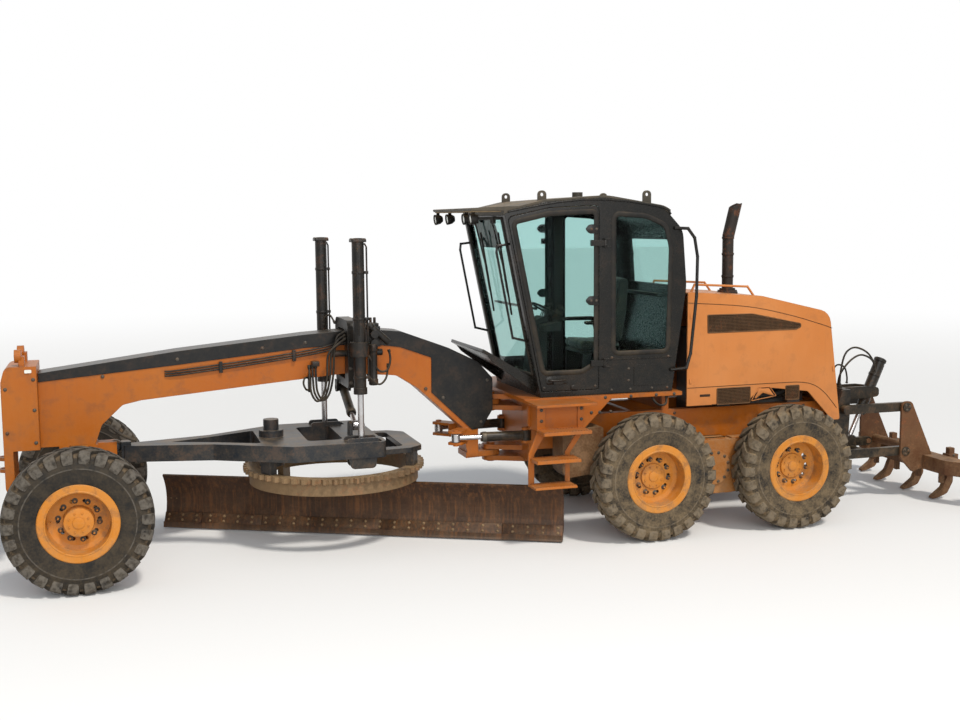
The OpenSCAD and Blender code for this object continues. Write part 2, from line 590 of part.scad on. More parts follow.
module tyre_rear_left() tyre(-half_pitch, 1);
module tyre_rear_right() tyre(-half_pitch, -1);
module rim_mid_left() rim(half_pitch, 1, -22, 3, rear_back);
module rim_mid_right() rim(half_pitch, -1, -22, 3, rear_back);
module rim_rear_left() rim(-half_pitch, 1, -22, 3, rear_back);
module rim_rear_right() rim(-half_pitch, -1, -22, 3, rear_back);
module tyre_front_left() tyre(axle_x, 1);
module tyre_front_right() tyre(axle_x, -1);
module rim_front_left() rim(axle_x, 1, -20, 95, front_back);
module rim_front_right() rim(axle_x, -1, -20, 95, front_back);

// Front axle beam with its middle pin, leaning pieces, knuckles and the lean bar.
lean_y = kingpin_y - 100;
knuckle_z = tyre_r;
lean_pin_r = 30;
beam_half_t = 70;
module side_yz(rows, x0, x1) translate([x0, 0, 0]) rotate([90, 0, 90])
    linear_extrude(x1 - x0) polygon(rounded(rows));
module along_x(x0, x1, y, z, r) translate([x0, y, z]) rotate([0, 90, 0]) cylinder(r = r, h = x1 - x0);
module front_axle() color("#c9781c") placed() difference() {
    side_yz([[-lean_y + 20, lean_z - 55, 0], [-200, lean_z + 60, 60], [200, lean_z + 60, 60],
        [lean_y - 20, lean_z - 55, 0], [lean_y + 50, lean_z - 55, 50], [lean_y + 50, lean_z + 55, 50],
        [lean_y - 70, lean_z + 45, 60], [330, lean_z + 190, 60], [190, axle_pin_z + 110, 90],
        [-190, axle_pin_z + 110, 90], [-330, lean_z + 190, 60], [-lean_y + 70, lean_z + 45, 60],
        [-lean_y - 50, lean_z + 55, 50], [-lean_y - 50, lean_z - 55, 50]], axle_x - beam_half_t, axle_x + beam_half_t);
    along_x(axle_x - 80, axle_x + 80, 0, axle_pin_z, axle_pin_r + pin_gap);
    for (s = [1, -1]) along_x(axle_x - 80, axle_x + 80, s * lean_y, lean_z, lean_pin_r + pin_gap);
}
axle_pin_r = 60;
kingpin_r = 30;
boss_half_z = [knuckle_z - 95, knuckle_z + 145];
lean_bar_x = axle_x + 180;
module lean_piece(s) placed() on_side(s) {
    // Two cheeks around the beam's end with their pin.
    for (x = [axle_x - beam_half_t - 35, axle_x + beam_half_t + 5])
        side_yz([[lean_y - 60, lean_z - 50, 40], [lean_y + 45, lean_z - 50, 40], [lean_y + 55, lean_z + 76, 0],
            [lean_y - 80, lean_z + 76, 0]], x, x + 30);
    along_x(axle_x - beam_half_t - 35, axle_x + beam_half_t + 35, lean_y, lean_z, lean_pin_r);
    // Lower and upper kingpin plates, the post between them and the kingpin.
    block([axle_x - beam_half_t - 35, lean_y - 50, boss_half_z[0] - 35], [axle_x + beam_half_t + 35, kingpin_y + 20, boss_half_z[0] - 5]);
    block([axle_x - 40, lean_y - 60, boss_half_z[0] - 30], [axle_x + 40, lean_y - 10, boss_half_z[1] + 40]);
    block([axle_x - 60, lean_y - 80, boss_half_z[1] + 5], [axle_x + 60, kingpin_y + 20, boss_half_z[1] + 35]);
    translate([axle_x, kingpin_y, boss_half_z[0] - 35]) cylinder(r = kingpin_r, h = boss_half_z[1] - boss_half_z[0] + 80);
    // Arm and boss of the lean bar.
    block([axle_x - 40, lean_y - 145, boss_half_z[1] + 5], [axle_x + 40, lean_y - 79, boss_half_z[1] + 40]);
    along_x(axle_x + 39, lean_bar_x - seat_gap, lean_y - 120, boss_half_z[1] + 22, 17);
}
module lean_left() color("#3b3a38") lean_piece(1);
module lean_right() color("#3b3a38") lean_piece(-1);
module lean_bar() color("#3b3a38") placed()
    block([lean_bar_x, -lean_y + 95, boss_half_z[1] + 2], [lean_bar_x + 25, lean_y - 95, boss_half_z[1] + 42]);
module knuckle(s) placed() on_side(s) difference() {
    union() {
        translate([axle_x, kingpin_y, boss_half_z[0]]) cylinder(r = 55, h = boss_half_z[1] - boss_half_z[0]);
        translate([axle_x, kingpin_y, knuckle_z]) rotate([-90, 0, 0])
            cylinder(r = 60, h = wheel_y + front_back - seat_gap - kingpin_y);
        translate([axle_x, wheel_y + front_back - 25, knuckle_z]) rotate([-90, 0, 0])
            cylinder(r = 130, h = 25 - seat_gap);
    }
    translate([axle_x, kingpin_y, boss_half_z[0] - 5]) cylinder(r = kingpin_r + pin_gap, h = boss_half_z[1] - boss_half_z[0] + 10);
}
front_back = -60;
module knuckle_left() color("#444240") knuckle(1);
module knuckle_right() color("#444240") knuckle(-1);

// Goose-neck beam from the nose down to the articulation lugs.
lug_x = pivot_x + 180;
// A place along the neck's rear bend, as a share of the way from its lugs to the circle.
function neck_at(share) = lug_x + share * (circle_x - lug_x);
neck_top = [[axle_x + 330, 1812, 20], [axle_x - 919, 1968, 0], [circle_x + 285, 2083, 200], [neck_at(0.796), 2118, 300],
    [neck_at(0.544), 2082, 200], [neck_at(0.21), 1898, 150], [lug_x, 1745, 60]];
neck_under = [[lug_x, 1190, 60], [neck_at(0.061), 1010, 60], [neck_at(0.43), 1510, 160], [neck_at(0.578), 1650, 150],
    [neck_at(0.932), 1692, 160], [circle_x + 840, 1612, 0], [axle_x - 579, 1525, 100], [axle_x - 409, 1490, 80],
    [axle_x - 214, 1310, 60], [axle_x - 150, 1130, 0], [axle_x + 330, 1130, 0]];
module front_frame() color("darkorange") placed() {
    side_plate(concat(neck_top, neck_under), -neck_y, neck_y);
    // Lugs around the articulation pins.
    for (z = [upper_lug_z, lower_lug_z]) difference() {
        union() {
            flat_plate([[lug_x + 130, -neck_y, 0], [pivot_x, -100, 60], [pivot_x - 85, -60, 50], [pivot_x - 85, 60, 50],
                [pivot_x, 100, 60], [lug_x + 130, neck_y, 0]], z, z + lug_t);
        }
        translate([pivot_x, 0, z - 1]) cylinder(r = pivot_r + pin_gap, h = lug_t + 2);
    }
    // Web between the lower lug and the neck.
    side_plate([[lug_x, lower_lug_z + 10, 0], [2440, lower_lug_z + 10, 0], [2500, 1100, 0], [lug_x, 1200, 0]], -neck_y, neck_y);
    // Ears for the swing cylinders' rods.
    both_sides() for (z = [swing_z - 45 - 25, swing_z + 45]) {
        flat_plate([[2500, neck_y - 1, 0], [2560, neck_y - 1, 0], [2700, 300, 20], [swing_eye[0] + 45, swing_eye[1] + 10, 40],
            [swing_eye[0] - 45, swing_eye[1] + 45, 40], [2480, 260, 30]], z, z + 25);
    }
    both_sides() for (z = [swing_z - 45 - 37, swing_z + 69]) translate([swing_eye[0], swing_eye[1], z]) cylinder(r = 30, h = 13);
    both_sides() block([pivot_x + 290, neck_y - 20, swing_z - 70], [pivot_x + 410, neck_y + 20, swing_z + 70]);
    // Bolster over the axle, with the cheeks that hold the axle's pin, and the ball's bracket.
    for (x = [axle_x - 75 - 5 - 90, axle_x + 75 + 5]) difference() {
        side_yz([[-neck_y, 1131, 0], [neck_y, 1131, 0], [130, axle_pin_z - 60, 60], [0, axle_pin_z - 110, 60],
            [-130, axle_pin_z - 60, 60]], x, x + 90);
    }
    translate([axle_x - 170, 0, axle_pin_z]) rotate([0, 90, 0]) cylinder(r = 60, h = 340);
    difference() {
        block([ball_x - 60, -75, ball_z - 75], [axle_x - 165, 75, 1131]);
        translate([ball_x, 0, ball_z]) sphere(r = 62);
        block([ball_x - 70, -80, ball_z - 80], [ball_x - 10, 80, 1140]);
    }
}
// Dark cover that wraps the neck's top and the sides of its rear bend.
cover_t = 8;
cover_end_x = pivot_x + 25;
cover_rows = [[axle_x + 325, 1812, 0], [axle_x - 919, 1968, 0], [circle_x + 285, 2083, 200], [neck_at(0.796), 2118, 300],
    [neck_at(0.544), 2082, 200], [neck_at(0.21), 1898, 150], [lug_x, 1745, 100], [cover_end_x, 1570, 40],
    [cover_end_x, 1245, 30], [cover_end_x + 115, 1060, 30], [cover_end_x + 220, 1045, 20], [neck_at(0.206), 1270, 30],
    [neck_at(0.334), 1450, 10], [neck_at(0.332), 1805, 20], [neck_at(0.552), 1925, 150], [neck_at(0.796), 2103 - band_h, 200],
    [circle_x + 285, 2083 - band_h, 100], [axle_x - 919, 1968 - band_h, 0], [axle_x + 325, 1812 - 81, 0]];
module frame_cover() color("#262524") placed() difference() {
    translate([0, 0, cover_t]) side_plate(cover_rows, -neck_y - cover_t, neck_y + cover_t);
    translate([0, 0, seat_gap]) side_plate(concat(neck_top, neck_under), -neck_y - seat_gap, neck_y + seat_gap);
    block([pivot_x - 200, -neck_y - seat_gap, 900], [lug_x + 100, neck_y + seat_gap, 1640]);
}

nose_back = axle_x + 330 + seat_gap;
module nose_plate() color("darkorange") placed() {
    side_plate([[nose_back, 1130, 0], [nose_back, 1900, 0], [nose_x - 40, 1900, 60], [nose_x, 1760, 60], [nose_x, 760, 60],
        [nose_x - 80, 720, 30], [nose_x - 80, 1130, 0]], -nose_y, nose_y);
    // Marker lamp and the pair of head lamps on top.
    both_sides() {
        block([axle_x + 430, 150, 1900], [axle_x + 480, 250, 1990]);
        translate([axle_x + 455, 200, 1990]) rotate([0, 90, 0]) cylinder(r = 60, h = 60);
    }
    // Tow pin in its two ears.
    for (z = [900, 1010]) difference() {
        flat_plate([[nose_x - 1, -90, 0], [nose_x + tow_out, -50, 30], [nose_x + tow_out, 50, 30], [nose_x - 1, 90, 0]], z, z + 30);
        translate([nose_x + 32, 0, z - 1]) cylinder(r = tow_pin_r, h = 32);
    }
}

// Saddle over the neck with the lift and shift cylinders' barrels, locks and valve block.
lift_left = [circle_x - 170, 560];
lift_right = [circle_x, -500];
lift_top = 3010;
lift_foot = 1560;
saddle_x = circle_x - 160;
module saddle() color("#2b2a2a") placed() {
    // Yoke around the neck.
    difference() {
        side_yz([[-330, 1560, 60], [330, 1560, 60], [330, 2225, 90], [-330, 2225, 90]], saddle_x - 60, saddle_x + 60);
        block([saddle_x - 70, -neck_y - cover_t - seat_gap, 1640], [saddle_x + 70, neck_y + cover_t + seat_gap, 2130]);
    }
    // Arms out to each barrel and the barrels in their trunnion collars.
    for (c = [lift_left, lift_right]) {
        s = sign(c[1]);
        difference() {
            union() {
                block([min(saddle_x - 55, c[0] - 60), s > 0 ? 325 : c[1] + barrel_r - 5, 1930],
                    [max(saddle_x + 55, c[0] + 60), s > 0 ? c[1] - barrel_r + 5 : -325, 2010]);
                translate([c[0], c[1], 1900]) cylinder(r = barrel_r + 32, h = 140);
                translate([c[0], c[1], lift_foot]) cylinder(r = barrel_r, h = lift_top - lift_foot);
                translate([c[0], c[1], lift_foot - 20]) cylinder(r = barrel_r + 8, h = 60);
            }
            translate([c[0], c[1], lift_foot - 30]) cylinder(r = rod_r + 5, h = lift_top - lift_foot - 30);
        }
    }
    // Valve block with its round bodies on the left.
    block([saddle_x - 270, neck_y + cover_t + seat_gap, 1960], [saddle_x - 59, 300, 2160]);
    for (z = [2000, 2090]) cross_pin(saddle_x - 200, z, 40, 299, 380);
    bar([saddle_x - 300, 230, 1900], [saddle_x + 200, 230, 1900], 32);
    block([saddle_x - 60, 200, 1870], [saddle_x + 60, 326, 1930]);
    // Ears of the centre-shift cylinder.
    for (x = [shift_x - 75, shift_x + 55]) difference() {
        side_yz([[-330, 1580, 0], [-200, 1580, 0], [shift_top[1] + 45, shift_top[2] - 45, 40],
            [shift_top[1] - 45, shift_top[2] - 45, 40]], x, x + 20);
        along_x(x - 1, x + 21, shift_top[1], shift_top[2], 20 + pin_gap);
    }
}
shift_x = saddle_x;
shift_top = [shift_x, -300, 1500];
shift_foot = [shift_x, 330, 1200];
shift_dir = heading(shift_top, shift_foot);
module lift_rod(c) placed() difference() {
    union() {
        translate([c[0], c[1], 960]) cylinder(r = rod_r, h = 1300);
        translate([c[0], c[1], 900]) sphere(r = 62);
        translate([c[0], c[1], 930]) cylinder(r = 42, h = 50);
        translate([c[0], c[1], 2200]) cylinder(r = rod_r + 4.5, h = 60);
    }
}
module lift_rod_left() color("silver") lift_rod(lift_left);
module lift_rod_right() color("silver") lift_rod(lift_right);
module shift_barrel() color("#202124") placed() {
    difference() {
        bar(shift_top + 30 * shift_dir, shift_top + 500 * shift_dir, 44);
        bar(shift_top + 60 * shift_dir, shift_top + 520 * shift_dir, 32);
    }
    along_x(shift_x - 50, shift_x + 50, shift_top[1], shift_top[2], 43);
    along_x(shift_x - 80, shift_x + 80, shift_top[1], shift_top[2], 20);
}
module shift_rod() color("silver") placed() {
    bar(shift_foot, shift_top + 260 * shift_dir, 25);
    bar(shift_top + 220 * shift_dir, shift_top + 265 * shift_dir, 32 - pin_gap);
    along_x(shift_x - 30, shift_x + 30, shift_foot[1], shift_foot[2], 48);
}

// Swing cylinders between the rear frame's head and the goose neck.
swing_z = 1010;
swing_base = [1900, 400];
swing_eye = [2620, 330];
swing_aim = heading(swing_base, swing_eye);
swing_len = norm(swing_eye - swing_base);
module along_swing(s) placed() on_side(s) translate([swing_base[0], swing_base[1], swing_z])
    rotate([0, 0, atan2(swing_aim[1], swing_aim[0])]) rotate([0, 90, 0]) children();
module swing_barrel(s) along_swing(s) {
    difference() {
        translate([0, 0, 35]) cylinder(r = swing_barrel_r, h = 430);
        translate([0, 0, 60]) cylinder(r = 32, h = 415);
    }
    difference() {
        translate([-swing_barrel_r - 4.5, 0, 0]) rotate([0, 90, 0]) cylinder(r = 45, h = 2 * swing_barrel_r + 9);
        translate([-swing_barrel_r - 6, 0, 0]) rotate([0, 90, 0]) cylinder(r = 25 + pin_gap, h = 2 * swing_barrel_r + 12);
    }
}
module swing_rod(s) along_swing(s) {
    translate([0, 0, 240]) cylinder(r = 26, h = swing_len - 240);
    translate([0, 0, 230]) cylinder(r = 32 - pin_gap, h = 50);
    translate([-39, 0, swing_len]) rotate([0, 90, 0]) cylinder(r = 44, h = 78);
}
module swing_barrel_left() color("#202124") swing_barrel(1);
module swing_barrel_right() color("#202124") swing_barrel(-1);
module swing_rod_left() color("silver") swing_rod(1);
module swing_rod_right() color("silver") swing_rod(-1);
module swing_base_ears() both_sides() {
    for (z = [swing_z - swing_barrel_r - 5 - 26, swing_z + swing_barrel_r + 5])
        flat_plate([[head_back + 55, swing_base[1] - 60, 0], [swing_base[0] + 45, swing_base[1] - 45, 40],
            [swing_base[0] + 45, swing_base[1] + 45, 40], [head_back + 55, rail_y, 0]], z, z + 26);
    translate([swing_base[0], swing_base[1], swing_z - swing_barrel_r - 40]) cylinder(r = 25, h = 2 * swing_barrel_r + 80);
}

// Drawbar: an A of two rails from the ball, its rear plate, lugs, pads and drive.
pad_gap = 0.5;
drawbar_y = 665;
bar_z0 = 930;
bar_z1 = 1085;
drawbar_end = circle_x - 400;
// A place along the drawbar, as a share of the way from the circle's middle to the ball.
function bar_at(share) = circle_x + share * (ball_x - circle_x);
module drawbar() color("#2a2f36") placed() {
    difference() {
        union() {
            flat_plate([[ball_x - 70, -75, 30], [ball_x - 70, 75, 30], [bar_at(0.575), 270, 60], [bar_at(0.24), drawbar_y, 60],
                [drawbar_end, drawbar_y, 60], [drawbar_end, -drawbar_y, 60], [bar_at(0.24), -drawbar_y, 60], [bar_at(0.575), -270, 60]], bar_z0, bar_z1);
            // Low tail over the circle's rear shoes.
            flat_plate([[drawbar_end + 40, 560, 0], [drawbar_end - 270, 520, 80], [drawbar_end - 410, 400, 80],
                [drawbar_end - 410, -400, 80], [drawbar_end - 270, -520, 80],
                [drawbar_end + 40, -560, 0]], bar_z0, bar_z0 + 50);
        }
        // Open middle of the A and the opening over the circle.
        flat_plate([[bar_at(0.755), 0, 0], [bar_at(0.565), 160, 30], [bar_at(0.364), 370, 30], [bar_at(0.364), -370, 30],
            [bar_at(0.565), -160, 30]], bar_z0 - 1, bar_z1 + 1);
        flat_plate([[circle_x + 320, -410, 60], [circle_x + 320, 410, 60], [circle_x - 20, 410, 60], [circle_x - 20, -410, 60]], bar_z0 - 1, bar_z1 + 1);
        flat_plate([[circle_x - 380, -410, 60], [circle_x - 380, 410, 60], [circle_x - 620, 410, 60], [circle_x - 620, -410, 60]], bar_z0 - 1, bar_z1 + 1);
        for (c = [lift_left, lift_right])
            block([c[0] - 190, c[1] - 69, bar_z0 - 1], [c[0] + 110, c[1] + 69, bar_z1 + 1]);
    }
    translate([ball_x, 0, ball_z]) sphere(r = 61.7);
    block([ball_x - 140, -60, bar_z0 + 20], [ball_x - 50, 60, ball_z + 40]);
    bar([ball_x - 60, 0, ball_z], [ball_x, 0, ball_z], 35);
    // Cheeks that hold the lift rods' balls.
    for (c = [lift_left, lift_right], e = [-93, 68])
        side_plate([[c[0] - 120, 830, 40], [c[0] + 120, 830, 40], [c[0] + 160, bar_z1 + 40, 30], [c[0] - 160, bar_z1 + 40, 30]],
            c[1] + e, c[1] + e + 25);
    // Lug ahead of the centre-shift rod's eye.
    side_yz([[260, bar_z1 - 1, 0], [400, bar_z1 - 1, 0], [375, shift_foot[2] + 45, 40], [285, shift_foot[2] + 45, 40]],
        shift_x + 30 + 10, shift_x + 70);
    // Wear pads on the circle's toothed ring.
    for (a = [30, 150, 210, 330]) translate([circle_x, 0, 0]) rotate([0, 0, a])
        block([circle_r - 130, -70, circle_top + pad_gap], [circle_r - 50, 70, bar_z0 + 1]);
    // Circle drive with its motor.
    translate([circle_x + 620, 0, circle_top + 6]) cylinder(r = 120, h = bar_z1 + 60 - circle_top);
    translate([circle_x + 620, 0, bar_z1 + 60]) cylinder(r = 75, h = 110);
}

// Circle: toothed ring, the drum under it and the two arms of the blade.
tooth_count = 54;
tooth_h = 34;
arm_x = 655;
arm_t = 60;
blade_pin = [-345, 200];
module at_circle() placed() translate([circle_x, 0, 0]) rotate([0, 0, blade_turn]) children();
module circle() color("#6b4a32") at_circle() {
    difference() {
        union() {
            translate([0, 0, circle_top - 50]) linear_extrude(50) polygon([for (i = [0:tooth_count - 1], k = [0:3])
                let (a = 360 / tooth_count * (i + [0.02, 0.28, 0.5, 0.8][k]), r = circle_r - (k == 0 || k == 1 ? 0 : tooth_h))
                [r * cos(a), r * sin(a)]]);
            translate([0, 0, circle_top - 170]) cylinder(r = 840, h = 121, $fn = 72);
        }
        translate([0, 0, circle_top - 171]) cylinder(r = 770, h = 180, $fn = 72);
    }
    for (s = [1, -1]) difference() {
        side_yz([[-545, circle_top - 100, 0], [-330, circle_top - 100, 0], [-345, 430, 60], [-285, 240, 50],
            [-285, blade_pin[1] - 60, 58], [-405, blade_pin[1] - 60, 58], [-560, 470, 80]],
            s > 0 ? arm_x : -arm_x - arm_t, s > 0 ? arm_x + arm_t : -arm_x);
        along_x(s > 0 ? arm_x - 5 : -arm_x - arm_t - 5, s > 0 ? arm_x + arm_t + 5 : -arm_x + 5, blade_pin[0], blade_pin[1], 35 + pin_gap);
    }
}

// Carrier that pitches on the arms and holds the blade's rails.
rail_back = -272;
module blade_carrier() color("#3a3026") at_circle() {
    for (s = [1, -1]) {
        side_yz([[blade_pin[0] - 50, 145, 40], [rail_back - seat_gap, 120, 0], [rail_back - seat_gap, 460, 0], [rail_back - 40, 460, 30],
            [blade_pin[0] - 50, 260, 40]], s > 0 ? arm_x - 65 : -arm_x + 5, s > 0 ? arm_x - 5 : -arm_x + 65);
    }
    along_x(-arm_x - arm_t, arm_x + arm_t, blade_pin[0], blade_pin[1], 35);
    along_x(-arm_x + 30, arm_x - 30, blade_pin[0], blade_pin[1], 46);
}

// Blade: a curved plate with two rails on its back and its cutting edge.
blade_foot = 12;
blade_x0 = blade_shift - blade_l / 2;
blade_x1 = blade_shift + blade_l / 2;
curve_r = 460;
curve_y = -134 + 365;
curve_mid = blade_foot + blade_h / 2 + 8;
half_arc = asin((blade_h / 2) / curve_r);
module moldboard() color("#452a1b") at_circle() {
    translate([blade_x0, 0, 0]) rotate([90, 0, 90]) linear_extrude(blade_l) polygon(concat(
        arc([curve_y, curve_mid], curve_r, 180 - half_arc + 1, 180 + half_arc - 6, 10),
        [[-134, blade_foot + 60], [-128, blade_foot], [-150, blade_foot]],
        arc([curve_y, curve_mid], curve_r + blade_t, 180 + half_arc - 4, 180 - half_arc + 1, 10)));
    for (z = [150, 430]) block([blade_x0 + 250, rail_back, z - 25], [blade_x1 - 250, curve_y - curve_r - blade_t + 30, z + 25]);
    for (x = [blade_x0, blade_x1 - 25])
        side_yz([[-235, 120, 0], [-125, blade_foot + 4, 0], [-150, blade_foot + 4, 0], [-262, 120, 0], [-262, 430, 0], [-235, 430, 0]], x, x + 25);
}

// Ripper: two pairs of links, a beam with its shanks and the lifting cylinder.
link_rear_x = link_front_x - link_l;
trunnion = [-2420, 1200];
rip_eye = [-2180, 660];
rip_aim = heading(trunnion, rip_eye);
module link(z) both_sides() difference() {
    side_plate([[link_rear_x - 50, z - 50, 49], [link_front_x + 50, z - 50, 49], [link_front_x + 50, z + 50, 49],
        [link_rear_x - 50, z + 50, 49]], link_y - 30, link_y + 30);
    for (x = [link_rear_x, link_front_x]) cross_pin(x, z, link_pin_r + pin_gap, link_y - 31, link_y + 31);
}
module ripper_lower_link() color("#2b2c2e") placed() {
    link(lower_pin_z);
    cross_pin(rip_eye[0], lower_pin_z, 42, -link_y + 25, link_y - 25);
    both_sides() side_plate([[rip_eye[0] - 60, lower_pin_z, 0], [rip_eye[0] + 60, lower_pin_z, 0],
        [rip_eye[0] + 45, rip_eye[1] + 45, 40], [rip_eye[0] - 45, rip_eye[1] + 45, 40]], 46, 70);
}
module ripper_upper_link() color("#2b2c2e") placed() link(upper_pin_z);
beam_z0 = 330;
beam_z1 = 490;
shank_half = 32;
module ripper_beam() color("#5a2f1c") placed() {
    difference() {
        flat_plate([[beam_front, -780, 0], [beam_front, 780, 0], [beam_front - sweep, beam_y, 10],
            [beam_front - sweep - beam_w, beam_y, 10], [beam_front - beam_w, 780, 0], [beam_front - beam_w, -780, 0],
            [beam_front - sweep - beam_w, -beam_y, 10], [beam_front - sweep, -beam_y, 10]], beam_z0, beam_z1);
    }
    // Side plates up to the links' rear pins.
    both_sides() {
        side_plate([[link_rear_x + 65, upper_pin_z + 65, 60], [link_rear_x - 65, upper_pin_z + 65, 60], [-3010, 500, 40],
            [-3010, beam_z1 - 1, 0], [beam_front - 10, beam_z1 - 1, 0], [beam_front + 1, beam_z0 + 10, 0], [-2760, beam_z0 - 30, 30],
            [link_rear_x + 65, lower_pin_z - 70, 60]], link_y + 35, link_y + 65);
        for (z = [lower_pin_z, upper_pin_z]) cross_pin(link_rear_x, z, link_pin_r, link_y - 35, link_y + 36);
    }
    cross_pin(-2800, 560, 50, -link_y - 36, link_y + 36);
    // Shanks in their pockets, tips forward.
    for (k = [-2:2]) {
        y = k * shank_pitch;
        x = beam_front - beam_w + sweep_at(y);
        block([x - pocket_t, y - shank_half - 25, beam_z0 - 20], [x + 1, y + shank_half + 25, beam_z1 + 20]);
        side_plate([[x - 90, beam_z1 + 90, 10], [x - 20, beam_z1 + 90, 10], [x - 20, 300, 60], [x + 50, 130, 60],
            [x + 185, 34, 0], [x + 190, 10, 0], [x + 120, 14, 0], [x - 10, 60, 70], [x - 80, 190, 60]], y - shank_half, y + shank_half);
    }
    // Small scarifier stubs under the beam.
    for (k = [-5:5]) if (k % 2 != 0) {
        y = k * shank_pitch / 2.6;
        block([beam_front - 130 + sweep_at(y), y - 22, beam_z0 - 130], [beam_front - 80 + sweep_at(y), y + 22, beam_z0 + 1]);
    }
}
module along_rip() placed() translate([trunnion[0], 0, trunnion[1]])
    rotate([0, 90 + atan2(-rip_aim[1], rip_aim[0]), 0]) children();
rip_len = norm(rip_eye - trunnion);
module ripper_barrel() color("#202124") along_rip() {
    difference() {
        translate([0, 0, -390]) cylinder(r = 62, h = 660);
        translate([0, 0, -360]) cylinder(r = 35, h = 640);
    }
    difference() {
        translate([0, 94, 0]) rotate([90, 0, 0]) cylinder(r = 40, h = 188);
        translate([0, 0, -60]) cylinder(r = 36, h = 120);
    }
    translate([0, 130, 0]) rotate([90, 0, 0]) cylinder(r = 25.5, h = 70);
    mirror([0, 1, 0]) translate([0, 130, 0]) rotate([90, 0, 0]) cylinder(r = 25.5, h = 70);
}
module ripper_rod() color("silver") along_rip() {
    translate([0, 0, -250]) cylinder(r = 35 - pin_gap, h = 60);
    translate([0, 0, -200]) cylinder(r = 28, h = rip_len + 200 - 5);
    translate([0, 40, rip_len]) rotate([90, 0, 0]) cylinder(r = 44, h = 80);
}

rear_frame();
engine();
cab_shell();
cab_roof();
cab_glass();
seat();
console();
fuel_tank();
ladders();
hand_rails();
ripper_mount();
door_left();
door_right();
door_glass_left();
door_glass_right();
hood();
exhaust();
tandem_left();
tandem_right();
tyre_mid_left();
tyre_mid_right();
tyre_rear_left();
tyre_rear_right();
rim_mid_left();
rim_mid_right();
rim_rear_left();
rim_rear_right();
tyre_front_left();
tyre_front_right();
rim_front_left();
rim_front_right();
front_frame();
frame_cover();
nose_plate();
saddle();
front_axle();
lean_left();
lean_right();
knuckle_left();
knuckle_right();
lean_bar();
drawbar();
circle();
blade_carrier();
moldboard();
lift_rod_left();
lift_rod_right();
shift_barrel();
shift_rod();
swing_barrel_left();
swing_barrel_right();
swing_rod_left();
swing_rod_right();
ripper_lower_link();
ripper_upper_link();
ripper_beam();
ripper_barrel();
ripper_rod();
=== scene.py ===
"""Looks of a motor grader: paint, dust, rust, tyre tread, glass, trim and small parts.

Lengths written as millimetres are counted from the middle of the rear tandem:
+X forward, +Y to the machine's left, +Z up from the ground.
"""
import math

import bmesh
import bpy
from mathutils import Matrix, Vector


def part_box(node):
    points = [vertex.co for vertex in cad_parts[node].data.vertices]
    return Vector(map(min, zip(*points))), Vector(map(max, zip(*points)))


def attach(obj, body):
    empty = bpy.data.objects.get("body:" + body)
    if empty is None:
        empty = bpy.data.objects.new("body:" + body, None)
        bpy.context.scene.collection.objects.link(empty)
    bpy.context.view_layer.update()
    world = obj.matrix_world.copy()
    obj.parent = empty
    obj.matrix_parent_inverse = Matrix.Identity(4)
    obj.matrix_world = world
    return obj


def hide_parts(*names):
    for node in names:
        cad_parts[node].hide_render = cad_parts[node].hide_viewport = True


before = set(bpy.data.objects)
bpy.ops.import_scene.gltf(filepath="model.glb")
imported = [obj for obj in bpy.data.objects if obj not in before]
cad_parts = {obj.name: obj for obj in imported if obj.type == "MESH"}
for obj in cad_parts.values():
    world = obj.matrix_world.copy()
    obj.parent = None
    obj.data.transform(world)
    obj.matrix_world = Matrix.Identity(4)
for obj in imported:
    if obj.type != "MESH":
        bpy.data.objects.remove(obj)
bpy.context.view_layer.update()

bl_info = {
    "name": "Motor Grader Looks",
    "version": (1, 0, 0),
    "blender": (4, 5, 0),
    "location": "View3D > Sidebar > Motor Grader",
    "description": "Dresses a packed motor grader with tread, paint, glass, trim and small parts",
    "category": "Object",
}

WHEELBASE = 6.219
HUB_Z = 0.635
WHEEL_Y = 1.05
HALF_PITCH = 0.786
MID_X = WHEELBASE - (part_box("rim_front_left")[0].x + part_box("rim_front_left")[1].x) / 2
SIDES = {"left": 1, "right": -1}
AXLES = {"mid": HALF_PITCH, "rear": -HALF_PITCH, "front": WHEELBASE}


def at(x, y, z):
    """A point in the frame, in metres, from millimetres."""
    return Vector((x / 1000 - MID_X, y / 1000, z / 1000))


# Mesh helpers. Each adds to a bmesh in the frame's metres.

def slab(bm, outline, axis, low, high):
    """A plate with an outline in the two other directions, from low to high along axis."""
    def point(u, v, w):
        return at(w, u, v) if axis == "x" else at(u, w, v) if axis == "y" else at(u, v, w)
    a = [bm.verts.new(point(u, v, low)) for u, v in outline]
    b = [bm.verts.new(point(u, v, high)) for u, v in outline]
    bm.faces.new(a)
    bm.faces.new(b)
    for i in range(len(a)):
        j = (i + 1) % len(a)
        bm.faces.new((a[i], a[j], b[j], b[i]))


def block(bm, low, high):
    """A box between two corners."""
    slab(bm, [(low[0], low[1]), (high[0], low[1]), (high[0], high[1]), (low[0], high[1])],
         "z", low[2], high[2])


def frames_along(points):
    """Points with a steady pair of side directions at each."""
    rows = []
    side = None
    for i, p in enumerate(points):
        run = (points[min(i + 1, len(points) - 1)] - points[max(i - 1, 0)]).normalized()
        if side is None:
            side = run.orthogonal().normalized()
        side = (side - run * side.dot(run)).normalized()
        rows.append((p, side, run.cross(side)))
    return rows


